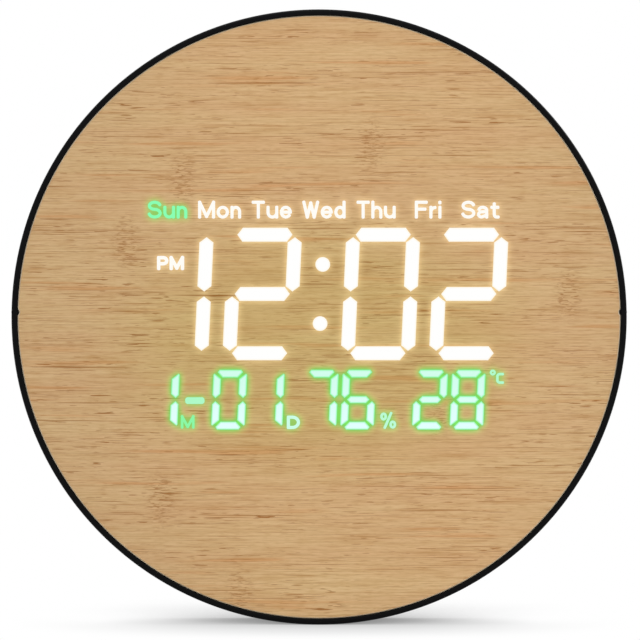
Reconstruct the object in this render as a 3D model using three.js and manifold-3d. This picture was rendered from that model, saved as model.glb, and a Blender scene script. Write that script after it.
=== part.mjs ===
// Digital wall clock: a round bamboo face in a black ring, with a lit display behind the veneer.
// Millimetres, +Z up. The face looks along -Y and the back lies on the wall plane, y = 0.
// The origin is the centre of the back.

import * as THREE from 'three';
import { mergeVertices } from 'three/addons/utils/BufferGeometryUtils.js';
import Module from 'manifold-3d';

const wasm = await Module();
wasm.setup();

// Case ring
const CASE_DIAMETER = 254;
const CASE_DEPTH = 30;
const RING_WALL = 2.4;
const LIP_ROUND = 1.2;
const EDGE_CHAMFER = 0.3;
const LEDGE_WIDTH = 5;
const LEDGE_THICKNESS = 2.2;
const LOCATING_KEY_RADIUS = 1.5;
const LOCATING_KEY_REACH = 0.65;
const LOCATING_KEY_RISE = 2;
const CASE_BOSS_DIAMETER = 8;
const CASE_BOSS_COUNT = 6;
const CASE_SCREW_LAND = 1.6;

// Face
const FACE_RECESS = 0.5;
const VENEER_THICKNESS = 0.6;
const PANEL_THICKNESS = 2;
const ADHESIVE_THICKNESS = 0.3;
const ADHESIVE_MARGIN = 0.5;
const DIFFUSER_THICKNESS = 0.3;

// Clearances: FIT runs round a piece in its hole or recess, SEAT lies under a piece that rests
const FIT = 0.2;
const SEAT = 0.05;

// Large time digits
const DISPLAY_SHIFT = 0.8;
const DIGIT_SLANT = THREE.MathUtils.degToRad(2.6);
const BIG_ROW_RISE = 9.5;
const BIG_DIGIT_WIDTH = 30.6;
const BIG_DIGIT_HEIGHT = 54;
const BIG_STROKE = 5.8;
const BIG_TIP_SETBACK = 1;
const BIG_TIP_DEPTH = 2.2;
const BIG_DIGIT_GAP = 5.8;
const COLON_GAP = 18.2;
const COLON_DOT_DIAMETER = 6.1;
const COLON_DOT_SPACING = 24.4;
const PM_WIDTH = 12.4;
const PM_HEIGHT = 6.6;
const PM_GAP = 1.2;

// Weekday row
const WEEKDAY_COUNT = 7;
const WEEKDAY_SHIFT = 1.1;
const WEEKDAY_CELL_WIDTH = 18.6;
const WEEKDAY_CELL_HEIGHT = 8.6;
const WEEKDAY_CELL_WALL = 3;
const WEEKDAY_GAP = 3.3;

// Small digits for date, humidity and temperature
const SMALL_ROW_SHIFT = -0.8;
const SMALL_ROW_GAP = 4.1;
const SMALL_DIGIT_WIDTH = 14.2;
const SMALL_DIGIT_HEIGHT = 24.4;
const SMALL_STROKE = 3.3;
const SMALL_DIGIT_GAP = 1.5;
const SMALL_CHAMFER = 1.5;
const SMALL_JOINT_GAP = 0.6;
const SMALL_WAIST_INSET = 1.25;
const SMALL_WAIST_RISE = 1.3;
const DATE_FIELD = 13.5;
const DASH_LENGTH = 8.4;
const LEGEND_WIDTH = 6;
const LEGEND_HEIGHT = 6.6;
const LEGEND_GAP = 1.6;
const DAY_TO_HUMIDITY = 1;
const HUMIDITY_TO_TEMPERATURE = 7.4;

// Reflector, board and light chips
const REFLECTOR_DEPTH = 6;
const REFLECTOR_MARGIN = 7;
const REFLECTOR_CORNER = 6;
const REFLECTOR_SCREW_INSET = 4;
const BOARD_THICKNESS = 1.6;
const LED_SIZE = 1.6;
const LED_HEIGHT = 0.7;
const EAR_DIAMETER = 10;
const EAR_SPREAD = 64;

// Board components, each with its place on the back of the board
const CONTROLLER = { x: -40, z: 20, width: 12, height: 12, depth: 1.6 };
const DRIVER = { x: 24, z: 24, width: 18, height: 8, depth: 2.2 };
const CRYSTAL = { x: -20, z: 8, width: 11, height: 4.6, depth: 3.6 };
const CAPACITOR = { x: 24, z: -2, diameter: 8, depth: 8 };
const SENSOR = { x: 60, z: 20, width: 6, height: 6, depth: 2 };
const CHIP_LEG_REACH = 1.2;
const CHIP_LEG_THICKNESS = 0.4;

// Rear cover
const COVER_THICKNESS = 3;
const COVER_EDGE = 0.8;
const POCKET_WALL = 2;
const POST_DIAMETER = 7;
const KEYHOLE_FROM_RIM = 40;
const KEYHOLE_ENTRY = 9;
const KEYHOLE_SLOT = 5;
const KEYHOLE_RUN = 9;
const VENT_COUNT = 5;
const VENT_LENGTH = 22;
const VENT_WIDTH = 2;
const VENT_PITCH = 5;

// Keys
const KEY_NAMES = ['set', 'up', 'down'];
const KEY_ROW_X = -46;
const KEY_ROW_Z = -30;
const KEY_PITCH = 16;
const KEY_DIAMETER = 8;
const KEY_STANDOUT = 2;
const KEY_CHAMFER = 0.6;
const KEY_FLANGE = 1.4;
const KEY_FLANGE_THICKNESS = 1.2;
const KEY_STEM_DIAMETER = 5;
const KEY_TRAVEL = 0.5;
const KEY_RECESS_DEPTH = 3;
const KEY_RECESS_MARGIN = 5;
const SWITCH_SIZE = 6;
const SWITCH_HEIGHT = 3.6;
const PLUNGER_DIAMETER = 3.5;
const PLUNGER_OUT = 1;
const PLUNGER_SUNK = 1;

// Power inlet
const SOCKET_BODY_DIAMETER = 8;
const SOCKET_BODY_LENGTH = 12;
const SOCKET_BARREL_DIAMETER = 6;
const SOCKET_BARREL_OUT = 5;
const SOCKET_BORE = 3.6;
const SOCKET_BORE_DEPTH = 9;
const SOCKET_PIN = 1.3;
const SOCKET_TAB = 2;
const SOCKET_TAB_SPACING = 5;
const NUT_FLATS = 8;
const NUT_THICKNESS = 2.2;
const PLUG_RECESS_TOP = -28;
const PLUG_RECESS_WIDTH = 16;
const PLUG_RECESS_LENGTH = 34;
const CHANNEL_WIDTH = 7;
const CHANNEL_DEPTH = 6;
const LEAD_DIAMETER = 1.4;
const LEAD_RISE = 14;

// Backup cell and its door
const BATTERY_X = 46;
const BATTERY_Z = -30;
const CELL_DIAMETER = 20;
const CELL_THICKNESS = 3.2;
const CELL_PLAY = 0.5;
const CONTACT_WIDTH = 4;
const CONTACT_THICKNESS = 0.4;
const CONTACT_LEAF = 12;
const DOOR_THICKNESS = 2;
const DOOR_INSET = 0.2;
const DOOR_SIDE_LAP = 2.5;
const DOOR_HINGE_LAP = 4.5;
const DOOR_SCREW_LAP = 8;
const HINGE_PIN_DIAMETER = 1.4;
const HINGE_PIN_REACH = 1.6;

// Screws
const CASE_SCREW = { head: 5.5, headHeight: 1.6, shank: 2.6, length: 9 };
const BOARD_SCREW = { head: 5, headHeight: 1.5, shank: 2.4, length: 8 };
const REFLECTOR_SCREW = { head: 4, headHeight: 1.2, shank: 1.8, length: 5 };
const DOOR_SCREW = { head: 4.2, headHeight: 1, shank: 2, length: 3 };
const SCREW_SINK = 0.2;
const SCREW_END_ROOM = 1;
const DOOR_SCREW_PLAY = 0.5;

// Facets
const RIM_SEGMENTS = 72;
const ROUND_SEGMENTS = 16;
const SCREW_SEGMENTS = 10;
const ARC_SEGMENTS = 3;
const SLOT_SEGMENTS = 2;
const LEAD_STEPS = 10;
const NUT_SIDES = 6;
const OVERCUT = 1;

// Depths along Y, from the lip at the front to the wall plane at the back
const lipFront = -CASE_DEPTH;
const veneerFront = lipFront + FACE_RECESS;
const veneerBack = veneerFront + VENEER_THICKNESS;
const panelFront = veneerBack + SEAT;
const panelBack = panelFront + PANEL_THICKNESS;
const adhesiveFront = panelBack + SEAT;
const adhesiveBack = adhesiveFront + ADHESIVE_THICKNESS;
const ledgeFront = adhesiveBack + SEAT;
const ledgeBack = ledgeFront + LEDGE_THICKNESS;
const diffuserFront = panelBack + SEAT;
const diffuserBack = diffuserFront + DIFFUSER_THICKNESS;
const reflectorFront = diffuserBack + SEAT;
const reflectorBack = reflectorFront + REFLECTOR_DEPTH;
const boardFront = reflectorBack + SEAT;
const boardBack = boardFront + BOARD_THICKNESS;
const componentFront = boardBack + SEAT;
const coverFront = -COVER_THICKNESS;

// Radii about the clock's axis
const caseRadius = CASE_DIAMETER / 2;
const innerRadius = caseRadius - RING_WALL;
const ledgeRadius = innerRadius - LEDGE_WIDTH;
const faceRadius = innerRadius - FIT;
const coverRadius = innerRadius - FIT;
const bossCircle = coverRadius - CASE_SCREW_LAND - CASE_SCREW.head / 2 - FIT;

// Solid from a three.js geometry: shared corners are welded and empty triangles left out
function solidOf(geometry) {
  const bare = geometry.clone();
  bare.deleteAttribute('normal');
  bare.deleteAttribute('uv');
  const welded = mergeVertices(bare);
  const index = welded.index.array;
  const corners = [];
  for (let i = 0; i < index.length; i += 3) {
    const [a, b, c] = [index[i], index[i + 1], index[i + 2]];
    if (a !== b && b !== c && c !== a) corners.push(a, b, c);
  }
  return new wasm.Manifold(new wasm.Mesh({
    numProp: 3,
    vertProperties: new Float32Array(welded.attributes.position.array),
    triVerts: new Uint32Array(corners),
  }));
}

function geometryOf(solid) {
  const mesh = solid.getMesh();
  const geometry = new THREE.BufferGeometry();
  geometry.setAttribute('position', new THREE.BufferAttribute(mesh.vertProperties, 3));
  geometry.setIndex(new THREE.BufferAttribute(mesh.triVerts, 1));
  geometry.computeVertexNormals();
  return geometry;
}

// Profile of [radius, y] points turned about the Y axis, listed so that the solid is on the left
function turned(profile, segments = RIM_SEGMENTS) {
  const points = profile.map(([radius, y]) => new THREE.Vector2(radius, y));
  return solidOf(new THREE.LatheGeometry(points, segments));
}

// Shape drawn in x and z, running from yFront back to yBack
function prism(shape, yFront, yBack, curveSegments = ARC_SEGMENTS) {
  const geometry = new THREE.ExtrudeGeometry(shape, {
    depth: yBack - yFront,
    bevelEnabled: false,
    curveSegments,
  });
  geometry.rotateX(Math.PI / 2);
  geometry.translate(0, yBack, 0);
  return solidOf(geometry);
}

function block(xMin, xMax, yFront, yBack, zMin, zMax) {
  const geometry = new THREE.BoxGeometry(xMax - xMin, yBack - yFront, zMax - zMin);
  geometry.translate((xMin + xMax) / 2, (yFront + yBack) / 2, (zMin + zMax) / 2);
  return solidOf(geometry);
}

function roundBar(x, z, diameter, yFront, yBack, segments = ROUND_SEGMENTS) {
  const geometry = new THREE.CylinderGeometry(diameter / 2, diameter / 2, yBack - yFront, segments);
  geometry.translate(x, (yFront + yBack) / 2, z);
  return solidOf(geometry);
}

function crossBar(x, y, z, diameter, length) {
  const geometry = new THREE.CylinderGeometry(diameter / 2, diameter / 2, length, ROUND_SEGMENTS);
  geometry.rotateZ(Math.PI / 2);
  geometry.translate(x, y, z);
  return solidOf(geometry);
}

function roundedRectangle(xMin, xMax, zMin, zMax, radius) {
  const shape = new THREE.Shape();
  shape.absarc(xMax - radius, zMin + radius, radius, -Math.PI / 2, 0);
  shape.absarc(xMax - radius, zMax - radius, radius, 0, Math.PI / 2);
  shape.absarc(xMin + radius, zMax - radius, radius, Math.PI / 2, Math.PI);
  shape.absarc(xMin + radius, zMin + radius, radius, Math.PI, Math.PI * 1.5);
  return shape;
}

// Screw with its head towards +Y and the underside of the head at y = 0
function screwSolid({ head, headHeight, shank, length }) {
  return turned([
    [0, -length],
    [shank / 2, -length],
    [shank / 2, 0],
    [head / 2, 0],
    [head / 2, headHeight / 2],
    [head / 2 - headHeight / 2, headHeight],
    [0, headHeight],
  ], SCREW_SEGMENTS);
}

function screwHole(x, z, screw, yFront, yBack) {
  return roundBar(x, z, screw.shank + 2 * FIT, yFront, yBack, SCREW_SEGMENTS);
}

// Layout of the display cells, in x and z
const bigTop = BIG_ROW_RISE + BIG_DIGIT_HEIGHT / 2;
const bigBottom = BIG_ROW_RISE - BIG_DIGIT_HEIGHT / 2;
const smallTop = bigBottom - SMALL_ROW_GAP;
const smallMiddle = smallTop - SMALL_DIGIT_HEIGHT / 2;
const smallBottom = smallTop - SMALL_DIGIT_HEIGHT;

function slanted(points, x, z) {
  return points.map(([u, v]) => [x + u + v * Math.tan(DIGIT_SLANT), z + v]);
}

function rectangle(xMin, xMax, zMin, zMax) {
  return [[xMin, zMin], [xMax, zMin], [xMax, zMax], [xMin, zMax]];
}

// Six-sided bar with pointed ends, between two corners of a large digit
function bigSegment([x1, z1], [x2, z2]) {
  const run = Math.hypot(x2 - x1, z2 - z1);
  const [ux, uz] = [(x2 - x1) / run, (z2 - z1) / run];
  const half = BIG_STROKE / 2;
  const tip = run / 2 - BIG_TIP_SETBACK;
  const shoulder = tip - BIG_TIP_DEPTH;
  const outline = [
    [-tip, 0],
    [-shoulder, -half],
    [shoulder, -half],
    [tip, 0],
    [shoulder, half],
    [-shoulder, half],
  ];
  const [mx, mz] = [(x1 + x2) / 2, (z1 + z2) / 2];
  return outline.map(([along, across]) => [mx + along * ux - across * uz, mz + along * uz + across * ux]);
}

function bigDigitCells(x) {
  const side = (BIG_DIGIT_WIDTH - BIG_STROKE) / 2;
  const rise = (BIG_DIGIT_HEIGHT - BIG_STROKE) / 2;
  const runs = [
    [[-side, rise], [side, rise]],
    [[side, 0], [side, rise]],
    [[side, -rise], [side, 0]],
    [[-side, -rise], [side, -rise]],
    [[-side, -rise], [-side, 0]],
    [[-side, 0], [-side, rise]],
    [[-side, 0], [side, 0]],
  ];
  return runs.map(([from, to]) => slanted(bigSegment(from, to), x, BIG_ROW_RISE));
}

// Mitred bars of a small digit; the upright bars are drawn at upper right and mirrored
function smallDigitCells(x, uprightsOnly = false) {
  const side = SMALL_DIGIT_WIDTH / 2;
  const rise = SMALL_DIGIT_HEIGHT / 2;
  const inner = side - SMALL_STROKE;
  const upright = [
    [side, SMALL_WAIST_RISE],
    [side, rise - SMALL_CHAMFER],
    [inner, rise - SMALL_STROKE - SMALL_JOINT_GAP],
    [inner, SMALL_JOINT_GAP + SMALL_STROKE - SMALL_WAIST_INSET],
    [side - SMALL_WAIST_INSET, SMALL_JOINT_GAP],
  ];
  const top = [
    [side - SMALL_CHAMFER, rise],
    [SMALL_CHAMFER - side, rise],
    [SMALL_JOINT_GAP - inner, rise - SMALL_STROKE],
    [inner - SMALL_JOINT_GAP, rise - SMALL_STROKE],
  ];
  const middleTip = side - SMALL_WAIST_INSET - SMALL_JOINT_GAP;
  const middleShoulder = inner - SMALL_JOINT_GAP;
  const half = SMALL_STROKE / 2;
  const middle = [
    [middleTip, 0],
    [middleShoulder, half],
    [-middleShoulder, half],
    [-middleTip, 0],
    [-middleShoulder, -half],
    [middleShoulder, -half],
  ];
  const flip = (points, across, up) => points.map(([u, v]) => [u * across, v * up]);
  const bars = [upright, flip(upright, 1, -1)];
  if (!uprightsOnly) {
    bars.push(flip(upright, -1, 1), flip(upright, -1, -1), top, flip(top, 1, -1), middle);
  }
  return bars.map((bar) => slanted(bar, x, smallMiddle));
}

function legendCell(xMin, zMin) {
  const cell = rectangle(0, LEGEND_WIDTH, zMin - smallMiddle, zMin - smallMiddle + LEGEND_HEIGHT);
  return slanted(cell, xMin, smallMiddle);
}

function timeCells() {
  const pitch = BIG_DIGIT_WIDTH + BIG_DIGIT_GAP;
  const innerPair = (COLON_GAP + BIG_DIGIT_WIDTH) / 2;
  const centres = [-innerPair - pitch, -innerPair, innerPair, innerPair + pitch];
  const cells = centres.flatMap((x) => bigDigitCells(DISPLAY_SHIFT + x));
  for (const up of [-1, 1]) {
    const dot = [];
    for (let i = 0; i < ROUND_SEGMENTS; i += 1) {
      const angle = (2 * Math.PI * i) / ROUND_SEGMENTS;
      const radius = COLON_DOT_DIAMETER / 2;
      dot.push([radius * Math.cos(angle), radius * Math.sin(angle)]);
    }
    const rise = (up * COLON_DOT_SPACING) / 2;
    cells.push(slanted([[0, rise]], DISPLAY_SHIFT, BIG_ROW_RISE)
      .flatMap(([x, z]) => dot.map(([u, v]) => [x + u, z + v])));
  }
  const pmLeft = DISPLAY_SHIFT + centres[0] - BIG_DIGIT_WIDTH / 2 + BIG_STROKE + PM_GAP;
  const pmRise = (BIG_DIGIT_HEIGHT - BIG_STROKE) / 4;
  const pm = rectangle(0, PM_WIDTH, pmRise - PM_HEIGHT / 2, pmRise + PM_HEIGHT / 2);
  cells.push(slanted(pm, pmLeft, BIG_ROW_RISE));
  return cells;
}

function weekdayCells() {
  const pitch = WEEKDAY_CELL_WIDTH + WEEKDAY_CELL_WALL;
  const bottom = bigTop + WEEKDAY_GAP;
  const cells = [];
  for (let day = 0; day < WEEKDAY_COUNT; day += 1) {
    const x = DISPLAY_SHIFT + WEEKDAY_SHIFT + (day - (WEEKDAY_COUNT - 1) / 2) * pitch;
    const half = WEEKDAY_CELL_WIDTH / 2;
    cells.push(rectangle(x - half, x + half, bottom, bottom + WEEKDAY_CELL_HEIGHT));
  }
  return cells;
}

// Date, humidity and temperature from left to right, each pair of digits followed by its legend
function smallRowCells() {
  const pairWidth = 2 * SMALL_DIGIT_WIDTH + SMALL_DIGIT_GAP;
  const monthWidth = SMALL_STROKE + SMALL_DIGIT_GAP + SMALL_DIGIT_WIDTH;
  const legendWidth = LEGEND_GAP + LEGEND_WIDTH;
  const rowWidth = monthWidth + DATE_FIELD + 3 * pairWidth + 3 * legendWidth
    + DAY_TO_HUMIDITY + HUMIDITY_TO_TEMPERATURE;
  const half = SMALL_DIGIT_WIDTH / 2;
  const cells = [];
  let x = DISPLAY_SHIFT + SMALL_ROW_SHIFT - rowWidth / 2;
  cells.push(...smallDigitCells(x + SMALL_STROKE - half, true));
  x += SMALL_STROKE + SMALL_DIGIT_GAP;
  cells.push(...smallDigitCells(x + half));
  x += SMALL_DIGIT_WIDTH;
  cells.push(legendCell(x + LEGEND_GAP, smallBottom));
  const dash = rectangle(-DASH_LENGTH / 2, DASH_LENGTH / 2, -SMALL_STROKE / 2, SMALL_STROKE / 2);
  cells.push(slanted(dash, x + DATE_FIELD / 2, smallMiddle));
  x += DATE_FIELD;
  for (const [legendBottom, after] of [
    [smallBottom, DAY_TO_HUMIDITY],
    [smallBottom, HUMIDITY_TO_TEMPERATURE],
    [smallTop - LEGEND_HEIGHT, 0],
  ]) {
    cells.push(...smallDigitCells(x + half));
    cells.push(...smallDigitCells(x + half + SMALL_DIGIT_WIDTH + SMALL_DIGIT_GAP));
    x += pairWidth;
    cells.push(legendCell(x + LEGEND_GAP, legendBottom));
    x += legendWidth + after;
  }
  return cells;
}

const displayCells = [...timeCells(), ...weekdayCells(), ...smallRowCells()];
const cellCorners = displayCells.flat().map(([x, z]) => new THREE.Vector2(x, z));
const cellBox = new THREE.Box2().setFromPoints(cellCorners);
const displayBox = cellBox.clone().expandByScalar(REFLECTOR_MARGIN);

// Places that several pieces share
const earPlaces = [];
const reflectorScrewPlaces = [];
for (const side of [-1, 1]) {
  earPlaces.push([side * EAR_SPREAD, displayBox.max.y + EAR_DIAMETER / 2]);
  earPlaces.push([side * EAR_SPREAD, displayBox.min.y - EAR_DIAMETER / 2]);
  const x = side < 0 ? displayBox.min.x + REFLECTOR_SCREW_INSET : displayBox.max.x - REFLECTOR_SCREW_INSET;
  reflectorScrewPlaces.push([x, displayBox.max.y - REFLECTOR_SCREW_INSET]);
  reflectorScrewPlaces.push([x, displayBox.min.y + REFLECTOR_SCREW_INSET]);
}
const casePlaces = [];
for (let i = 0; i < CASE_BOSS_COUNT; i += 1) {
  const angle = (2 * Math.PI * i) / CASE_BOSS_COUNT;
  casePlaces.push([bossCircle * Math.cos(angle), bossCircle * Math.sin(angle), angle]);
}
const keyPlaces = KEY_NAMES.map((_, i) => [
  KEY_ROW_X + (i - (KEY_NAMES.length - 1) / 2) * KEY_PITCH,
  KEY_ROW_Z,
]);
const locatingKeyPlaces = [-1, 1].map((side) => [
  side * (innerRadius + LOCATING_KEY_RADIUS - LOCATING_KEY_REACH),
  LOCATING_KEY_RISE,
]);
const caseScrewSeat = -SCREW_SINK - CASE_SCREW.headHeight;

// Screw boss with a web that joins it to the ring's wall
function caseBoss([x, z, angle], yFront, yBack) {
  const webEnd = innerRadius + RING_WALL / 2;
  const web = new THREE.BoxGeometry(webEnd - bossCircle, yBack - yFront, CASE_BOSS_DIAMETER);
  web.translate((webEnd + bossCircle) / 2, (yFront + yBack) / 2, 0);
  web.rotateY(-angle);
  return roundBar(x, z, CASE_BOSS_DIAMETER, yFront, yBack).add(solidOf(web));
}

function caseRing() {
  const round = Math.min(LIP_ROUND, RING_WALL - 2 * EDGE_CHAMFER);
  const profile = [
    [innerRadius, lipFront + EDGE_CHAMFER],
    [innerRadius + EDGE_CHAMFER, lipFront],
  ];
  for (let i = 0; i <= ARC_SEGMENTS; i += 1) {
    const angle = (Math.PI / 2) * (i / ARC_SEGMENTS);
    profile.push([
      caseRadius - round + round * Math.sin(angle),
      lipFront + round - round * Math.cos(angle),
    ]);
  }
  profile.push(
    [caseRadius, -EDGE_CHAMFER],
    [caseRadius - EDGE_CHAMFER, 0],
    [innerRadius, 0],
    [innerRadius, ledgeBack],
    [ledgeRadius, ledgeBack],
    [ledgeRadius, ledgeFront],
    [innerRadius, ledgeFront],
    [innerRadius, lipFront + EDGE_CHAMFER],
  );
  let ring = turned(profile);
  const bossFront = (ledgeFront + ledgeBack) / 2;
  const bossBack = coverFront - SEAT;
  for (const place of casePlaces) {
    ring = ring.add(caseBoss(place, bossFront, bossBack));
  }
  const pilotFront = caseScrewSeat - CASE_SCREW.length - SCREW_END_ROOM;
  for (const [x, z] of casePlaces) {
    ring = ring.subtract(screwHole(x, z, CASE_SCREW, pilotFront, bossBack + OVERCUT));
  }
  for (const [x, z] of locatingKeyPlaces) {
    ring = ring.add(roundBar(x, z, 2 * LOCATING_KEY_RADIUS, lipFront + EDGE_CHAMFER, bossFront));
  }
  const notchTop = -innerRadius + LEDGE_WIDTH;
  const half = CHANNEL_WIDTH / 2;
  return ring.subtract(block(-half, half, -CHANNEL_DEPTH, OVERCUT, -caseRadius - OVERCUT, notchTop));
}

function faceDisc(yFront, yBack) {
  let disc = turned([[0, yFront], [faceRadius, yFront], [faceRadius, yBack], [0, yBack]]);
  for (const [x, z] of locatingKeyPlaces) {
    const notch = roundBar(x, z, 2 * (LOCATING_KEY_RADIUS + FIT), yFront - OVERCUT, yBack + OVERCUT);
    disc = disc.subtract(notch);
  }
  return disc;
}

function panelAdhesive() {
  const inner = ledgeRadius + ADHESIVE_MARGIN;
  const outer = innerRadius - LOCATING_KEY_REACH - ADHESIVE_MARGIN;
  return turned([
    [inner, adhesiveFront],
    [outer, adhesiveFront],
    [outer, adhesiveBack],
    [inner, adhesiveBack],
    [inner, adhesiveFront],
  ]);
}

function displayOutline() {
  const { min, max } = displayBox;
  return roundedRectangle(min.x, max.x, min.y, max.y, REFLECTOR_CORNER);
}

function reflectorFrame() {
  let frame = prism(displayOutline(), reflectorFront, reflectorBack);
  for (const cell of displayCells) {
    const opening = new THREE.Shape(cell.map(([x, z]) => new THREE.Vector2(x, z)));
    frame = frame.subtract(prism(opening, reflectorFront - OVERCUT, reflectorBack + OVERCUT));
  }
  const holeFront = boardBack - REFLECTOR_SCREW.length - SCREW_END_ROOM;
  for (const [x, z] of reflectorScrewPlaces) {
    frame = frame.subtract(screwHole(x, z, REFLECTOR_SCREW, holeFront, reflectorBack + OVERCUT));
  }
  return frame;
}

// Board with screw ears and one light chip in the middle of each cell
function displayBoard() {
  let board = prism(displayOutline(), boardFront, boardBack);
  const ear = EAR_DIAMETER / 2;
  for (const [x, z] of earPlaces) {
    const edge = z > 0 ? displayBox.max.y : displayBox.min.y;
    const [zMin, zMax] = z > 0 ? [edge - ear, z] : [z, edge + ear];
    board = board.add(roundBar(x, z, EAR_DIAMETER, boardFront, boardBack));
    board = board.add(block(x - ear, x + ear, boardFront, boardBack, zMin, zMax));
  }
  for (const [x, z] of earPlaces) {
    board = board.subtract(screwHole(x, z, BOARD_SCREW, boardFront - OVERCUT, boardBack + OVERCUT));
  }
  for (const [x, z] of reflectorScrewPlaces) {
    board = board.subtract(screwHole(x, z, REFLECTOR_SCREW, boardFront - OVERCUT, boardBack + OVERCUT));
  }
  const half = LED_SIZE / 2;
  for (const cell of displayCells) {
    const x = cell.reduce((sum, point) => sum + point[0], 0) / cell.length;
    const z = cell.reduce((sum, point) => sum + point[1], 0) / cell.length;
    const sunk = boardFront + BOARD_THICKNESS / 2;
    board = board.add(block(x - half, x + half, boardFront - LED_HEIGHT, sunk, z - half, z + half));
  }
  return board;
}

// Moulded chip with a strip of legs along its two long sides
function chip({ x, z, width, height, depth }) {
  const [half, rise] = [width / 2, height / 2];
  const legs = rise + CHIP_LEG_REACH;
  const legBack = componentFront + CHIP_LEG_THICKNESS;
  return block(x - half, x + half, componentFront, componentFront + depth, z - rise, z + rise)
    .add(block(x - half, x + half, componentFront, legBack, z - legs, z + legs));
}

function crystalCan({ x, z, width, height, depth }) {
  const [half, rise] = [width / 2, height / 2];
  const shape = roundedRectangle(x - half, x + half, z - rise, z + rise, rise);
  return prism(shape, componentFront, componentFront + depth);
}

const switchBack = componentFront + SWITCH_HEIGHT;
const plungerBack = switchBack + PLUNGER_OUT;

function switchBody([x, z]) {
  const half = SWITCH_SIZE / 2;
  const plungerFloor = switchBack - PLUNGER_SUNK - KEY_TRAVEL - FIT;
  return block(x - half, x + half, componentFront, switchBack, z - half, z + half)
    .subtract(roundBar(x, z, PLUNGER_DIAMETER + 2 * FIT, plungerFloor, switchBack + OVERCUT));
}

function switchPlunger([x, z]) {
  return roundBar(x, z, PLUNGER_DIAMETER, switchBack - PLUNGER_SUNK, plungerBack);
}

// Key cap with a flange that keeps it behind the recess floor, turned at its own axis
function keyCap() {
  const capBack = KEY_STANDOUT - KEY_RECESS_DEPTH;
  const flangeBack = -KEY_RECESS_DEPTH - POCKET_WALL - FIT;
  const flangeFront = flangeBack - KEY_FLANGE_THICKNESS;
  const radius = KEY_DIAMETER / 2;
  return turned([
    [0, plungerBack + SEAT],
    [KEY_STEM_DIAMETER / 2, plungerBack + SEAT],
    [KEY_STEM_DIAMETER / 2, flangeFront],
    [radius + KEY_FLANGE, flangeFront],
    [radius + KEY_FLANGE, flangeBack],
    [radius, flangeBack],
    [radius, capBack - KEY_CHAMFER],
    [radius - KEY_CHAMFER, capBack],
    [0, capBack],
  ], ROUND_SEGMENTS);
}

// Power inlet, in a recess whose upper wall carries the socket with its mouth facing down
const socketY = coverFront - FIT - SOCKET_BODY_DIAMETER / 2;
const nutRadius = NUT_FLATS / 2 / Math.cos(Math.PI / NUT_SIDES);
const plugRecessFront = socketY - nutRadius - FIT;
const plugRecessBottom = PLUG_RECESS_TOP - PLUG_RECESS_LENGTH;
const socketSeat = PLUG_RECESS_TOP + POCKET_WALL + SEAT;

// Turned about the vertical through x = 0 and the socket's axis; heights are along Z
function upright(profile, segments = ROUND_SEGMENTS) {
  const points = profile.map(([radius, z]) => new THREE.Vector2(radius, z));
  const geometry = new THREE.LatheGeometry(points, segments);
  geometry.rotateX(Math.PI / 2);
  geometry.translate(0, socketY, 0);
  return solidOf(geometry);
}

function powerSocket() {
  const mouth = PLUG_RECESS_TOP - SOCKET_BARREL_OUT;
  const boreEnd = mouth + SOCKET_BORE_DEPTH;
  const bodyTop = socketSeat + SOCKET_BODY_LENGTH;
  let socket = upright([
    [0, mouth + SEAT],
    [SOCKET_PIN / 2, mouth + SEAT],
    [SOCKET_PIN / 2, boreEnd],
    [SOCKET_BORE / 2, boreEnd],
    [SOCKET_BORE / 2, mouth],
    [SOCKET_BARREL_DIAMETER / 2, mouth],
    [SOCKET_BARREL_DIAMETER / 2, socketSeat],
    [SOCKET_BODY_DIAMETER / 2, socketSeat],
    [SOCKET_BODY_DIAMETER / 2, bodyTop],
    [0, bodyTop],
  ]);
  const half = LEAD_DIAMETER / 2;
  for (const side of [-1, 1]) {
    const x = (side * SOCKET_TAB_SPACING) / 2;
    const [tabFront, tabBack] = [socketY - half, socketY + half];
    const [tabStart, tabEnd] = [bodyTop - OVERCUT, bodyTop + SOCKET_TAB];
    socket = socket.add(block(x - half, x + half, tabFront, tabBack, tabStart, tabEnd));
  }
  return socket;
}

function socketNut() {
  const top = PLUG_RECESS_TOP - SEAT;
  const bore = SOCKET_BARREL_DIAMETER / 2 + FIT;
  const bottom = top - NUT_THICKNESS;
  const hexagon = upright([[0, bottom], [nutRadius, bottom], [nutRadius, top], [0, top]], NUT_SIDES);
  const hole = upright([
    [0, bottom - OVERCUT],
    [bore, bottom - OVERCUT],
    [bore, top + OVERCUT],
    [0, top + OVERCUT],
  ]);
  return hexagon.subtract(hole);
}

// Lead from a socket tab, up and over to the board
function powerLead(side) {
  const x = (side * SOCKET_TAB_SPACING) / 2;
  const start = socketSeat + SOCKET_BODY_LENGTH + SOCKET_TAB + SEAT;
  const end = start + LEAD_RISE;
  const path = new THREE.CubicBezierCurve3(
    new THREE.Vector3(x, socketY, start),
    new THREE.Vector3(x, socketY, end),
    new THREE.Vector3(x, socketY, end),
    new THREE.Vector3(x, componentFront, end),
  );
  const section = new THREE.Shape();
  section.absarc(0, 0, LEAD_DIAMETER / 2, 0, 2 * Math.PI);
  return solidOf(new THREE.ExtrudeGeometry(section, {
    steps: LEAD_STEPS,
    curveSegments: ARC_SEGMENTS,
    extrudePath: path,
  }));
}

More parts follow.
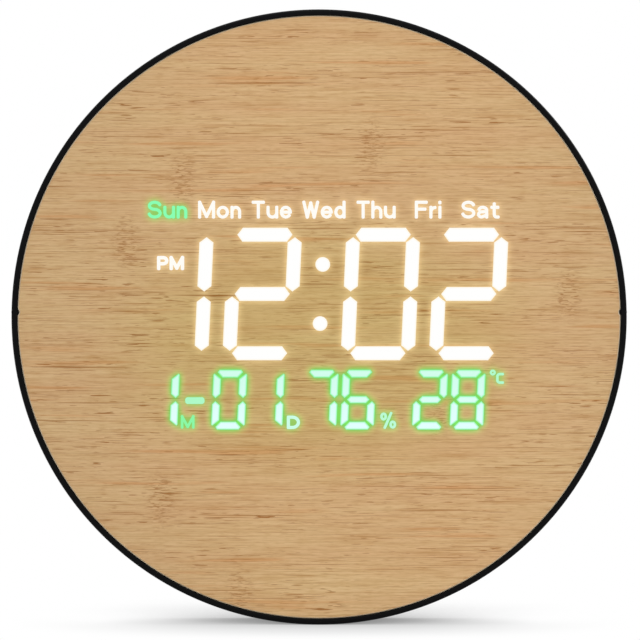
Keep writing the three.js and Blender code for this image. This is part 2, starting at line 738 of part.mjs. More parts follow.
// Battery well and door, stacked from the door's outer face towards the front
const doorBack = -DOOR_INSET;
const doorFront = doorBack - DOOR_THICKNESS;
const cellBack = doorFront - CELL_PLAY;
const cellFront = cellBack - CELL_THICKNESS;
const leafBack = cellFront - SEAT;
const leafFront = leafBack - CONTACT_THICKNESS;
const wellFront = leafFront - SEAT;
const wellRadius = CELL_DIAMETER / 2 + CELL_PLAY;
const doorHalfWidth = wellRadius + DOOR_SIDE_LAP;
const doorTop = BATTERY_Z + wellRadius + DOOR_HINGE_LAP;
const doorBottom = BATTERY_Z - wellRadius - DOOR_SCREW_LAP;
const hingeY = (doorFront + doorBack) / 2;
const hingeZ = doorTop - DOOR_THICKNESS / 2;
const doorScrewZ = BATTERY_Z - wellRadius - DOOR_SCREW_LAP / 2;
const doorScrewSeat = doorBack - SCREW_SINK - DOOR_SCREW.headHeight;
const contactHalf = CONTACT_WIDTH / 2;
const positiveFrontZ = BATTERY_Z + CELL_DIAMETER / 2 + FIT;
const negativeLegZ = BATTERY_Z - CONTACT_LEAF / 2;

function negativeContact() {
  const [xMin, xMax] = [BATTERY_X - contactHalf, BATTERY_X + contactHalf];
  const leaf = block(xMin, xMax, leafFront, leafBack, negativeLegZ, negativeLegZ + CONTACT_LEAF);
  const legTop = negativeLegZ + CONTACT_THICKNESS;
  return leaf.add(block(xMin, xMax, componentFront, leafBack, negativeLegZ, legTop));
}

function positiveContact() {
  const [xMin, xMax] = [BATTERY_X - contactHalf, BATTERY_X + contactHalf];
  return block(xMin, xMax, componentFront, cellBack, positiveFrontZ, positiveFrontZ + CONTACT_THICKNESS);
}

function batteryDoor() {
  const [xMin, xMax] = [BATTERY_X - doorHalfWidth, BATTERY_X + doorHalfWidth];
  const pinLength = 2 * (doorHalfWidth + HINGE_PIN_REACH);
  const headHole = DOOR_SCREW.head + 2 * FIT;
  return block(xMin, xMax, doorFront, doorBack, doorBottom, hingeZ)
    .add(crossBar(BATTERY_X, hingeY, hingeZ, DOOR_THICKNESS, 2 * doorHalfWidth))
    .add(crossBar(BATTERY_X, hingeY, hingeZ, HINGE_PIN_DIAMETER, pinLength))
    .subtract(screwHole(BATTERY_X, doorScrewZ, DOOR_SCREW, doorFront - OVERCUT, doorBack + OVERCUT))
    .subtract(roundBar(BATTERY_X, doorScrewZ, headHole, doorScrewSeat - SEAT, doorBack + OVERCUT));
}

function keyhole() {
  const entryZ = caseRadius - KEYHOLE_FROM_RIM;
  const half = KEYHOLE_SLOT / 2;
  const [front, back] = [coverFront - OVERCUT, OVERCUT];
  return roundBar(0, entryZ, KEYHOLE_ENTRY, front, back)
    .add(block(-half, half, front, back, entryZ, entryZ + KEYHOLE_RUN))
    .add(roundBar(0, entryZ + KEYHOLE_RUN, KEYHOLE_SLOT, front, back));
}

function ventSlot(x, z) {
  const [half, rise] = [VENT_LENGTH / 2, VENT_WIDTH / 2];
  const shape = roundedRectangle(x - half, x + half, z - rise, z + rise, rise);
  return prism(shape, coverFront - OVERCUT, OVERCUT, SLOT_SEGMENTS);
}

function rearCover() {
  const inside = coverFront + COVER_EDGE;
  let cover = turned([
    [0, coverFront],
    [coverRadius, coverFront],
    [coverRadius, -COVER_EDGE],
    [coverRadius - COVER_EDGE, 0],
    [0, 0],
  ]);

  // Walls, posts and pockets on the inner side
  for (const [x, z] of earPlaces) {
    cover = cover.add(roundBar(x, z, POST_DIAMETER, boardBack + SEAT, inside));
  }
  const keyHalf = (KEY_PITCH * (KEY_NAMES.length - 1) + KEY_DIAMETER) / 2 + KEY_RECESS_MARGIN;
  const keyRise = KEY_DIAMETER / 2 + KEY_RECESS_MARGIN;
  const keyRoom = (grow, yFront, yBack) => block(
    KEY_ROW_X - keyHalf - grow, KEY_ROW_X + keyHalf + grow, yFront, yBack,
    KEY_ROW_Z - keyRise - grow, KEY_ROW_Z + keyRise + grow,
  );
  cover = cover.add(keyRoom(POCKET_WALL, -KEY_RECESS_DEPTH - POCKET_WALL, inside));
  const plugHalf = PLUG_RECESS_WIDTH / 2;
  const plugRoom = (grow, yFront, yBack) => block(
    -plugHalf - grow, plugHalf + grow, yFront, yBack,
    plugRecessBottom - grow, PLUG_RECESS_TOP + grow,
  );
  cover = cover.add(plugRoom(POCKET_WALL, plugRecessFront - POCKET_WALL, inside));
  const channelHalf = CHANNEL_WIDTH / 2;
  const channelEnd = -Math.sqrt(coverRadius ** 2 - (channelHalf + POCKET_WALL) ** 2) + OVERCUT;
  cover = cover.add(block(
    -channelHalf - POCKET_WALL, channelHalf + POCKET_WALL, -CHANNEL_DEPTH - POCKET_WALL, inside,
    channelEnd, plugRecessBottom,
  ));
  const doorRoom = (grow, yFront, yBack) => block(
    BATTERY_X - doorHalfWidth - grow, BATTERY_X + doorHalfWidth + grow, yFront, yBack,
    doorBottom - grow, doorTop + grow,
  );
  const pinHalf = doorHalfWidth + HINGE_PIN_REACH + FIT;
  const pinRise = HINGE_PIN_DIAMETER / 2 + FIT;
  cover = cover.add(doorRoom(POCKET_WALL, doorFront - POCKET_WALL, inside));
  cover = cover.add(block(
    BATTERY_X - pinHalf - POCKET_WALL, BATTERY_X + pinHalf + POCKET_WALL, doorFront - POCKET_WALL, inside,
    hingeZ - pinRise - POCKET_WALL, doorTop + POCKET_WALL,
  ));
  const wellWall = 2 * (wellRadius + POCKET_WALL);
  cover = cover.add(roundBar(BATTERY_X, BATTERY_Z, wellWall, wellFront - POCKET_WALL, inside));

  // Recesses, open to the back
  cover = cover.subtract(keyRoom(0, -KEY_RECESS_DEPTH, OVERCUT));
  cover = cover.subtract(plugRoom(0, plugRecessFront, OVERCUT));
  const channelBottom = -coverRadius - OVERCUT;
  cover = cover.subtract(block(
    -channelHalf, channelHalf, -CHANNEL_DEPTH, OVERCUT, channelBottom, plugRecessBottom + OVERCUT,
  ));
  cover = cover.subtract(doorRoom(FIT, doorFront - SEAT, OVERCUT));
  cover = cover.subtract(block(
    BATTERY_X - pinHalf, BATTERY_X + pinHalf, hingeY - pinRise, OVERCUT, hingeZ - pinRise, hingeZ + pinRise,
  ));
  const well = roundBar(BATTERY_X, BATTERY_Z, 2 * wellRadius, wellFront, OVERCUT, 2 * ROUND_SEGMENTS);
  cover = cover.subtract(well);

  // Holes and slots
  const keyFloor = -KEY_RECESS_DEPTH - POCKET_WALL;
  for (const [x, z] of keyPlaces) {
    cover = cover.subtract(roundBar(x, z, KEY_DIAMETER + 2 * FIT, keyFloor - OVERCUT, 0));
  }
  const barrelHole = SOCKET_BARREL_DIAMETER / 2 + FIT;
  cover = cover.subtract(upright([
    [0, PLUG_RECESS_TOP - OVERCUT],
    [barrelHole, PLUG_RECESS_TOP - OVERCUT],
    [barrelHole, socketSeat + OVERCUT],
    [0, socketSeat + OVERCUT],
  ]));
  const contactRoom = (zMin, yBack) => block(
    BATTERY_X - contactHalf - FIT, BATTERY_X + contactHalf + FIT, wellFront - POCKET_WALL - OVERCUT, yBack,
    zMin - FIT, zMin + CONTACT_THICKNESS + FIT,
  );
  cover = cover.subtract(contactRoom(negativeLegZ, leafBack));
  cover = cover.subtract(contactRoom(positiveFrontZ, doorFront));
  const doorScrewHole = DOOR_SCREW.shank + 2 * DOOR_SCREW_PLAY;
  cover = cover.subtract(roundBar(
    BATTERY_X, doorScrewZ, doorScrewHole, doorFront - POCKET_WALL - OVERCUT, doorFront, SCREW_SEGMENTS,
  ));
  cover = cover.subtract(keyhole());
  for (const side of [-1, 1]) {
    for (let i = 0; i < VENT_COUNT; i += 1) {
      cover = cover.subtract(ventSlot(side * SENSOR.x, SENSOR.z + (i - (VENT_COUNT - 1) / 2) * VENT_PITCH));
    }
  }
  for (const [x, z] of casePlaces) {
    cover = cover.subtract(screwHole(x, z, CASE_SCREW, coverFront - OVERCUT, OVERCUT));
    cover = cover.subtract(roundBar(x, z, CASE_SCREW.head + 2 * FIT, caseScrewSeat - SEAT, OVERCUT));
  }
  const pilotBack = boardFront - SEAT + BOARD_SCREW.length + SCREW_END_ROOM;
  for (const [x, z] of earPlaces) {
    cover = cover.subtract(screwHole(x, z, BOARD_SCREW, boardBack - OVERCUT, pilotBack));
  }
  return cover;
}

// Finishes
const BLACK_PLASTIC = { color: 0x141416, roughness: 0.45, metalness: 0 };
const REAR_PLASTIC = { color: 0x18181a, roughness: 0.6, metalness: 0 };
const BAMBOO = { color: 0xc8a573, roughness: 0.55, metalness: 0 };
const OPAL = { color: 0xf0f0ec, roughness: 0.4, metalness: 0 };
const TAPE = { color: 0xd8d4c8, roughness: 0.9, metalness: 0 };
const WHITE_PLASTIC = { color: 0xf4f4f2, roughness: 0.5, metalness: 0 };
const BOARD_GREEN = { color: 0x1d5a34, roughness: 0.5, metalness: 0 };
const CHIP_BLACK = { color: 0x1b1b1d, roughness: 0.6, metalness: 0 };
const BRIGHT_METAL = { color: 0xc4c6ca, roughness: 0.3, metalness: 1 };
const DARK_SCREW = { color: 0x2a2a2c, roughness: 0.4, metalness: 1 };
const KEY_GREY = { color: 0x8c8e92, roughness: 0.55, metalness: 0 };
const LEAD_RED = { color: 0xa82420, roughness: 0.6, metalness: 0 };
const LEAD_BLACK = { color: 0x161618, roughness: 0.6, metalness: 0 };

function piece(group, name, solid, finish) {
  const mesh = new THREE.Mesh(geometryOf(solid), new THREE.MeshStandardMaterial(finish));
  mesh.name = name;
  group.add(mesh);
  return mesh;
}

function screws(group, name, size, places, y, finish, fromFront = false) {
  const solid = screwSolid(size);
  places.forEach(([x, z], i) => {
    const screw = piece(group, `${name}_${i + 1}`, solid, finish);
    screw.position.set(x, y, z);
    screw.rotation.x = fromFront ? Math.PI : 0;
  });
}

const face = new THREE.Group();
piece(face, 'bamboo_veneer', faceDisc(veneerFront, veneerBack), BAMBOO);
piece(face, 'face_panel', faceDisc(panelFront, panelBack), OPAL);
piece(face, 'panel_adhesive', panelAdhesive(), TAPE);

const display = new THREE.Group();
piece(display, 'diffuser_film', prism(displayOutline(), diffuserFront, diffuserBack), OPAL);
piece(display, 'reflector_frame', reflectorFrame(), WHITE_PLASTIC);
piece(display, 'display_board', displayBoard(), BOARD_GREEN);
piece(display, 'controller_chip', chip(CONTROLLER), CHIP_BLACK);
piece(display, 'driver_chip', chip(DRIVER), CHIP_BLACK);
piece(display, 'climate_sensor', chip(SENSOR), WHITE_PLASTIC);
piece(display, 'clock_crystal', crystalCan(CRYSTAL), BRIGHT_METAL);
const capacitorBack = componentFront + CAPACITOR.depth;
const capacitor = roundBar(CAPACITOR.x, CAPACITOR.z, CAPACITOR.diameter, componentFront, capacitorBack);
piece(display, 'buffer_capacitor', capacitor, BRIGHT_METAL);
screws(display, 'reflector_screw', REFLECTOR_SCREW, reflectorScrewPlaces, boardBack + SEAT, BRIGHT_METAL);

const keys = new THREE.Group();
keyPlaces.forEach((place, i) => {
  const name = KEY_NAMES[i];
  piece(keys, `${name}_switch_body`, switchBody(place), CHIP_BLACK);
  piece(keys, `${name}_switch_plunger`, switchPlunger(place), KEY_GREY);
  piece(keys, `${name}_key`, keyCap(), KEY_GREY).position.set(place[0], 0, place[1]);
});

const power = new THREE.Group();
piece(power, 'power_socket', powerSocket(), CHIP_BLACK);
piece(power, 'socket_nut', socketNut(), BRIGHT_METAL);
piece(power, 'power_lead_positive', powerLead(1), LEAD_RED);
piece(power, 'power_lead_negative', powerLead(-1), LEAD_BLACK);

const backup = new THREE.Group();
const coinCell = roundBar(BATTERY_X, BATTERY_Z, CELL_DIAMETER, cellFront, cellBack, 2 * ROUND_SEGMENTS);
piece(backup, 'coin_cell', coinCell, BRIGHT_METAL);
piece(backup, 'negative_contact', negativeContact(), BRIGHT_METAL);
piece(backup, 'positive_contact', positiveContact(), BRIGHT_METAL);
piece(backup, 'battery_door', batteryDoor(), REAR_PLASTIC);
piece(backup, 'battery_door_screw', screwSolid(DOOR_SCREW), DARK_SCREW)
  .position.set(BATTERY_X, doorScrewSeat, doorScrewZ);

const housing = new THREE.Group();
piece(housing, 'case_ring', caseRing(), BLACK_PLASTIC);
piece(housing, 'rear_cover', rearCover(), REAR_PLASTIC);
screws(housing, 'case_screw', CASE_SCREW, casePlaces, caseScrewSeat, DARK_SCREW);
screws(housing, 'board_screw', BOARD_SCREW, earPlaces, boardFront - SEAT, BRIGHT_METAL, true);

const clock = new THREE.Group();
clock.name = 'digital_wall_clock';
clock.add(housing, face, display, keys, power, backup);

export default clock;
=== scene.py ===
import math

import bmesh
import bpy
from bpy.props import FloatProperty, FloatVectorProperty, IntProperty, PointerProperty, StringProperty
from mathutils import Matrix, Vector
from mathutils.geometry import delaunay_2d_cdt


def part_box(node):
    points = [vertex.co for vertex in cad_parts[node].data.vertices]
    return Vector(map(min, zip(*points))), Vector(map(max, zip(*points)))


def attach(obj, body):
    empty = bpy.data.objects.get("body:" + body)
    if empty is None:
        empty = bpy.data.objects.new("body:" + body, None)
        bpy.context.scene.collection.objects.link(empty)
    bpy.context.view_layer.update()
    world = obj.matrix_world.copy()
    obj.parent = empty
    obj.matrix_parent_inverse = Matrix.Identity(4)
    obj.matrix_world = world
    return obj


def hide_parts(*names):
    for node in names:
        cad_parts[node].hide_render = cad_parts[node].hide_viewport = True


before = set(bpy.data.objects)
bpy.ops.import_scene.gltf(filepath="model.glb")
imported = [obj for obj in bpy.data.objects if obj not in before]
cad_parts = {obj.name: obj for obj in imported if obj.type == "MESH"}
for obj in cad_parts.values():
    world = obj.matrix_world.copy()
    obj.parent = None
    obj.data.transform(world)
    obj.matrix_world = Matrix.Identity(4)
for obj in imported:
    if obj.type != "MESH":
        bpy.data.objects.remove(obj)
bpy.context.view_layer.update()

bl_info = {
    "name": "Round Digital Wall Clock",
    "version": (1, 0, 0),
    "blender": (4, 5, 0),
    "location": "View3D > Sidebar > Wall Clock",
    "description": "Dresses the frame of a round wall clock with a lit display behind a bamboo face",
    "category": "Add Mesh",
}

MM = 0.001

# Place of a solid that stays where its sections put it
HERE = Matrix.Identity(4)

# Colours with full alpha
BLACK = (0.0, 0.0, 0.0, 1.0)
WHITE = (1.0, 1.0, 1.0, 1.0)

# Corners of the frame's nodes that the pieces take their places from
CASE_LOW, CASE_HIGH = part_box("case_ring")
FACE_LOW, FACE_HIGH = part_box("bamboo_veneer")
COVER_LOW, COVER_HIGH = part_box("rear_cover")
DOOR_LOW, DOOR_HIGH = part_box("battery_door")
CELL_LOW, CELL_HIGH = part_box("coin_cell")
SOCKET_LOW, SOCKET_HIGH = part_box("power_socket")
NUT_LOW, NUT_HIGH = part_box("socket_nut")
LEDGE_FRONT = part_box("panel_adhesive")[1].y
CASE_SCREWS = [f"case_screw_{i}" for i in range(1, 7)]
BOARD_SCREWS = [f"board_screw_{i}" for i in range(1, 5)]
REFLECTOR_SCREWS = [f"reflector_screw_{i}" for i in range(1, 5)]
KEY_NAMES = ("set", "up", "down")

# Clearances, walls and screws that the pieces share
FIT = 0.2 * MM
SEAT = 0.05 * MM
OVERCUT = 1 * MM
MERGE = 0.0002 * MM
POCKET_WALL = 2 * MM
SCREW_SHANK = 2.6 * MM

# Steps of round forms
RIM_STEPS = 256
BORE_STEPS = 48
ARC_STEPS = 12
ROUND_STEPS = 6
SHARP_ANGLE = math.radians(32)

# Ring details behind the lip
LEDGE_WIDTH = 5 * MM
LEDGE_THICKNESS = 2.2 * MM
BOSS_DIAMETER = 8 * MM
LOCATING_KEY_RADIUS = 1.5 * MM
LOCATING_KEY_REACH = 0.65 * MM
LOCATING_KEY_RISE = 2 * MM
LOCATING_KEY_SINK = 0.3 * MM
CHANNEL_WIDTH = 7 * MM
CHANNEL_DEPTH = 6 * MM

# Large digits, in the plane of the face
DISPLAY_SHIFT = 0.95 * MM
DIGIT_SLANT = math.tan(math.radians(2.6))
BIG_RISE = 9.5 * MM
BIG_WIDTH = 30.6 * MM
BIG_HEIGHT = 54.7 * MM
BIG_STROKE = 5.8 * MM
BIG_TIP_SETBACK = 1 * MM
BIG_TIP_DEPTH = 2.2 * MM
BIG_GAP = 5.8 * MM
COLON_GAP = 18.2 * MM
COLON_DOT = 6.1 * MM
COLON_SPACING = 24.4 * MM

# Small digits and their legends
SMALL_SHIFT = -1.38 * MM
SMALL_ROW_GAP = 3.85 * MM
SMALL_WIDTH = 14 * MM
SMALL_HEIGHT = 24.75 * MM
SMALL_STROKE = 3.3 * MM
SMALL_GAP = 1.5 * MM
SMALL_JOINT = 0.55 * MM
TOP_TIP = (1.75 * MM, 1.1 * MM)
TOP_SHOULDER = 2.5 * MM
UPRIGHT_TIP = (0.5 * MM, 1.6 * MM)
UPRIGHT_SHOULDER = 2.1 * MM
WAIST_TIP = (1.3 * MM, 0.6 * MM)
WAIST_OUTER = 1.9 * MM
WAIST_INNER = 2.3 * MM
WAIST_BAR = (2.3 * MM, 3.75 * MM, 1.5 * MM)
DATE_FIELD = 13.8 * MM
DASH_LENGTH = 8 * MM
DASH_HALF_HEIGHT = 1.4 * MM
DASH_SHIFT = (-0.25 * MM, -0.4 * MM)
DASH_CORNER = 1.12 * MM
LEGEND_WIDTH = 6 * MM
LEGEND_GAP = 1.6 * MM
DAY_TO_HUMIDITY = 0.65 * MM
HUMIDITY_TO_TEMPERATURE = 8 * MM

# Words above the large digits
WEEKDAYS = ("Sun", "Mon", "Tue", "Wed", "Thu", "Fri", "Sat")
WEEKDAY_PITCH = 21.52 * MM
WEEKDAY_SHIFT = 1.05 * MM
WORD_BASE = 40.6 * MM
WORD_CAP = 7.4 * MM
WORD_X_HEIGHT = 5.3 * MM
WORD_STROKE = 1.32 * MM
LETTER_GAP = 0.6 * MM
PM_LEFT = -66.9 * MM
PM_BASE = 19.3 * MM
PM_HEIGHT = 5.9 * MM
PM_STROKE = 1.45 * MM
PM_GAP = 0.36 * MM
PM_WIDTHS = (("P", 4.8 * MM), ("M", 6.1 * MM))

# Legends in millimetres: letter, field of the row, offset from its place, size, stroke, and how pale it is
LEGENDS = (
    ("M", 0, (-0.4, 0.4), (5.7, 5.6), 1.1, 0.45),
    ("D", 1, (0.0, 0.2), (5.5, 5.6), 1.35, 0.85),
    ("%", 2, (1.05, 0.4), (6.2, 6.8), 1.1, 0.75),
    ("C", 3, (3.5, 18.85), (3.3, 4.6), 1.1, 0.8),
    ("o", 3, (0.9, 22.3), (2.5, 2.5), 0.95, 0.8),
)

# How pale the other lit shapes are, from 0 for the greenest letters to 1 for the middle of a bar
RIM_LEVEL = 0.5
WORD_LEVEL = 0.85
TODAY_LEVEL = 0.0
DASH_LEVEL = 0.72
GREEN_FADE = 0.12

# Rows of the display, worked out from the large digits
SMALL_TOP = BIG_RISE - BIG_HEIGHT / 2 - SMALL_ROW_GAP
SMALL_MIDDLE = SMALL_TOP - SMALL_HEIGHT / 2
SMALL_BOTTOM = SMALL_TOP - SMALL_HEIGHT

# Lit bars of each figure, lettered clockwise from the top, with G across the middle
SEGMENTS = {
    "0": "ABCDEF", "1": "BC", "2": "ABDEG", "3": "ABCDG", "4": "BCFG",
    "5": "ACDFG", "6": "ACDEFG", "7": "ABC", "8": "ABCDEFG", "9": "ABCDFG", " ": "",
}


def srgb(red, green, blue):
    """Linear colour of a screen colour whose channels run from 0 to 255"""
    shares = [level / 255 for level in (red, green, blue)]
    return tuple(s / 12.92 if s <= 0.04045 else ((s + 0.055) / 1.055) ** 2.4 for s in shares)


def length(name, description, default):
    """Length that a user can set, in metres"""
    return FloatProperty(name=name, description=description, default=default, min=0.0,
                         subtype="DISTANCE", unit="LENGTH", precision=5)


def share(name, description, default):
    """Share that a user can set, from none to all"""
    return FloatProperty(name=name, description=description, default=default, min=0.0, max=1.0,
                         subtype="FACTOR")


def colour(name, description, default):
    """Linear colour that a user can set"""
    return FloatVectorProperty(name=name, description=description, default=default, size=3,
                               min=0.0, max=1.0, subtype="COLOR")


def pixels(name, description, default):
    """Place or size in the picture that a user can set, in pixels"""
    return FloatProperty(name=name, description=description, default=default, subtype="PIXEL")


def power(name, description, default):
    """Power of a lamp that a user can set, in watts"""
    return FloatProperty(name=name, description=description, default=default, min=0.0, unit="POWER")


class ClockCaseSettings(bpy.types.PropertyGroup):
    """Sizes and finish of the case ring"""

    wall: length("Wall", "Thickness of the ring's wall", 2.4 * MM)
    lip_round: length("Lip round", "Radius of the lip's outer edge", 1.2 * MM)
    edge_round: length("Edge round", "Radius of the ring's other edges", 0.3 * MM)
    black: colour("Black", "Colour of the ring's plastic", srgb(9, 9, 10))
    roughness: share("Roughness", "Roughness of the ring's satin plastic", 0.34)


class ClockFaceSettings(bpy.types.PropertyGroup):
    """Sizes and finish of the bamboo face"""

    edge: length("Cut edge", "Width of the eased edge round the veneer", 0.42 * MM)
    grid: length("Light grid", "Spacing of the points that carry the light's spread", 0.5 * MM)
    light_wood: colour("Light wood", "Palest tone of the bamboo", srgb(217, 183, 135))
    warm_wood: colour("Warm wood", "Pink-brown tone of the bamboo", srgb(214, 175, 129))
    ember: colour("Ember", "Orange tone of the broad streaks", srgb(208, 153, 100))
    fibre: colour("Fibre", "Tone of the fine fibres", srgb(174, 121, 55))
    streak: colour("Streak", "Tone of the dark vessel streaks", srgb(148, 88, 20))
    cut_edge: colour("Cut edge colour", "Tone of the veneer's cut edge", srgb(232, 214, 184))


class ClockDisplaySettings(bpy.types.PropertyGroup):
    """What the display shows, and the light that it gives"""

    time: StringProperty(name="Time", description="Four time digits", default="1202")
    today: IntProperty(name="Today", description="Weekday that is lit green, from Sunday", default=0,
                       min=0, max=len(WEEKDAYS) - 1)
    readings: StringProperty(name="Readings", description="Month, day, humidity and temperature digits",
                             default="1017628")
    proud: length("Proud", "Height of the lit shapes on the veneer", 0.03 * MM)
    rim: length("Rim", "Width of the tinted rim of a lit bar", 0.7 * MM)
    white_core: colour("White core", "Middle of a white bar", (1.0, 1.0, 0.99))
    white_rim: colour("White rim", "Edge of a white bar", srgb(255, 247, 226))
    green_core: colour("Green core", "Middle of a green bar", srgb(226, 255, 254))
    green_rim: colour("Green rim", "Edge of a green bar", srgb(140, 248, 165))
    green_word: colour("Green word", "Thin green letters", srgb(138, 255, 180))
    halo: length("Halo", "Reach of the light round a bar", 1.25 * MM)
    white_halo: colour("White halo", "Light that a white bar adds beside it", (0.36, 0.29, 0.15))
    green_halo: colour("Green halo", "Light that a green bar adds beside it", (0.27, 1.0, 0.15))


class ClockRearSettings(bpy.types.PropertyGroup):
    """Sizes and finishes of the pieces at the back"""

    edge: length("Edge", "Width of the eased edges of recesses and holes", 0.35 * MM)
    corner: length("Corner", "Radius of the corners of the recesses", 1.2 * MM)
    black: colour("Cover black", "Colour of the rear cover's plastic", srgb(40, 40, 43))
    key_grey: colour("Key grey", "Colour of the key caps", srgb(140, 142, 146))
    steel: colour("Steel", "Colour of plated metal", (0.62, 0.63, 0.65))
    oxide: colour("Black oxide", "Colour of the screws", (0.05, 0.05, 0.055))


class ClockStageSettings(bpy.types.PropertyGroup):
    """Camera and light"""

    distance: length("Distance", "Distance of the camera from the lip", 1.2)
    lip_pixels: pixels("Lip radius", "Radius of the lip in the picture", 308.0)
    lip_x: pixels("Lip centre across", "Place of the lip's centre, from the picture's left", 319.1)
    lip_y: pixels("Lip centre down", "Place of the lip's centre, from the picture's top", 317.0)
    ambient: FloatProperty(name="Ambient", description="Strength of the even light", default=0.76)
    key: power("Key lamp", "Power of the soft lamp above", 14.0)
    rim: power("Rim lamp", "Power of the lamp beside the ring", 5.0)


# Outlines and solids


def arc(centre, radii, start, end, steps=ARC_STEPS):
    """Points of an elliptic arc, with its angles in degrees"""
    points = []
    for i in range(steps + 1):
        angle = math.radians(start + (end - start) * i / steps)
        points.append((centre[0] + radii[0] * math.cos(angle), centre[1] + radii[1] * math.sin(angle)))
    return points


def circle(centre, radius, steps, start=0):
    """Closed outline of a circle, or of a regular figure where its steps are few"""
    return arc(centre, (radius, radius), start, start + 360, steps)[:-1]


def rounded(corners, radii):
    """Closed outline whose corners are rounded, each to its own radius"""
    outline = []
    for i, (corner, radius) in enumerate(zip(corners, radii)):
        here = Vector(corner)
        if radius == 0:
            outline.append(tuple(here))
            continue
        before = (Vector(corners[i - 1]) - here).normalized()
        after = (Vector(corners[(i + 1) % len(corners)]) - here).normalized()
        half = before.angle(after) / 2
        centre = here + (before + after).normalized() * radius / math.sin(half)
        first = here + before * radius / math.tan(half) - centre
        last = here + after * radius / math.tan(half) - centre
        start = math.atan2(first.y, first.x)
        sweep = (math.atan2(last.y, last.x) - start + math.pi) % (2 * math.pi) - math.pi
        turn = [math.degrees(start), math.degrees(start + sweep)]
        outline += arc(centre, (radius, radius), *turn, ROUND_STEPS)
    return outline


def rectangle(x_min, x_max, z_min, z_max, corner=0.0):
    """Outline of a rectangle, with round corners if it has a corner radius"""
    corners = [(x_min, z_min), (x_max, z_min), (x_max, z_max), (x_min, z_max)]
    return rounded(corners, [corner] * 4)


def join_rings(solid, rings, closed=False):
    """Adds the walls between rings of points, and flat ends unless the last ring meets the first"""
    if closed:
        rings = rings + rings[:1]
    else:
        solid.faces.new(rings[0])
        solid.faces.new(rings[-1])
    for low, high in zip(rings, rings[1:]):
        for i in range(len(low)):
            j = (i + 1) % len(low)
            solid.faces.new((low[i], low[j], high[j], high[i]))


def loft(sections, place=HERE, closed=False):
    """Solid through (y, outline) sections that have as many points each"""
    solid = bmesh.new()
    rings = []
    for y, outline in sections:
        rings.append([solid.verts.new(place @ Vector((x, y, z))) for x, z in outline])
    join_rings(solid, rings, closed)
    return solid


def lathe(profile, steps=BORE_STEPS, place=HERE, closed=False):
    """Solid of (radius, y) points turned about the Y axis"""
    return loft([(y, circle((0.0, 0.0), radius, steps)) for radius, y in profile], place, closed)


def drum(x, z, radius, y_front, y_back):
    """Round bar along Y"""
    return lathe([(radius, y_front), (radius, y_back)], place=Matrix.Translation((x, 0, z)))


def block(x_min, x_max, y_front, y_back, z_min, z_max):
    """Block with square corners"""
    outline = rectangle(x_min, x_max, z_min, z_max)
    return loft([(y_front, outline), (y_back, outline)])


def pocket(bounds, floor, edge, corner, mouth=0.0):
    """Cutter of a recess open to the back, with an eased edge at its mouth"""
    x_min, x_max, z_min, z_max = bounds
    sections = []
    for y, grow in ((floor, 0), (mouth - edge, 0), (mouth, edge), (mouth + OVERCUT, edge)):
        outline = rectangle(x_min - grow, x_max + grow, z_min - grow, z_max + grow, corner + grow)
        sections.append((y, outline))
    return loft(sections)


def bore(x, z, radius, floor, edge, mouth=0.0):
    """Cutter of a round hole open to the back, with an eased edge at its mouth"""
    wide = radius + edge
    profile = [(radius, floor), (radius, mouth - edge), (wide, mouth), (wide, mouth + OVERCUT)]
    return lathe(profile, place=Matrix.Translation((x, 0, z)))


def cleaned(mesh, solid, outward=True):
    """Mesh that takes a solid's shape, with doubles merged and, if asked, faces pointing out"""
    bmesh.ops.remove_doubles(solid, verts=solid.verts, dist=MERGE)
    if outward:
        bmesh.ops.recalc_face_normals(solid, faces=solid.faces)
    solid.to_mesh(mesh)
    solid.free()
    return mesh


def mesh_of(name, solid, smooth=True):
    """New mesh of a solid"""
    mesh = cleaned(bpy.data.meshes.new(name), solid)
    if smooth:
        soften(mesh)
    return mesh


def soften(mesh):
    """Smooth shading that keeps the true edges crisp"""
    mesh.polygons.foreach_set("use_smooth", [True] * len(mesh.polygons))
    mesh.set_sharp_from_angle(angle=SHARP_ANGLE)


def helper(name, mesh):
    """Object that only lives while another piece is made from it"""
    made = bpy.data.objects.new(name, mesh)
    bpy.context.scene.collection.objects.link(made)
    return made


def evaluated(made, name):
    """Plain mesh of an object with its modifiers, after which the object is removed"""
    graph = bpy.context.evaluated_depsgraph_get()
    mesh = bpy.data.meshes.new_from_object(
        made.evaluated_get(graph), preserve_all_data_layers=True, depsgraph=graph)
    mesh.name = name
    bpy.data.objects.remove(made)
    return mesh


def carved(name, base, changes):
    """Mesh of a solid after (operation, solid) changes, made one after another"""
    body = helper(name, mesh_of(name, base, smooth=False))
    tools = []
    for operation, solid in changes:
        tool = helper(f"{name}_tool", mesh_of(f"{name}_tool", solid, smooth=False))
        tools.append(tool)
        step = body.modifiers.new(operation, "BOOLEAN")
        step.operation = operation
        step.solver = "EXACT"
        step.object = tool
    mesh = evaluated(body, name)
    for tool in tools:
        bpy.data.objects.remove(tool)
    solid = bmesh.new()
    solid.from_mesh(mesh)
    soften(cleaned(mesh, solid, outward=False))
    return mesh


def place_piece(name, mesh, material, body, stands_for=()):
    """Finished piece that rides on a body of the frame"""
    mesh.materials.clear()
    mesh.materials.append(material)
    piece = bpy.data.objects.new(name, mesh)
    bpy.context.scene.collection.objects.link(piece)
    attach(piece, body)
    if stands_for:
        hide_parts(*stands_for)


def standing(spot):
    """Place of a shape that is turned about an axis along Y through a spot"""
    return Matrix.Translation((spot.x, 0, spot.z))


def middle(node):
    """Middle of a node's box"""
    low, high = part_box(node)
    return (low + high) / 2


# Node trees


def add_node(tree, kind, sockets=None, **settings):
    """Node whose inputs, by name or number, take a value or the socket that feeds them"""
    node = tree.nodes.new(kind)
    for key, value in settings.items():
        setattr(node, key, value)
    for key, value in (sockets or {}).items():
        if isinstance(value, bpy.types.NodeSocket):
            tree.links.new(value, node.inputs[key])
        else:
            node.inputs[key].default_value = value
    return node


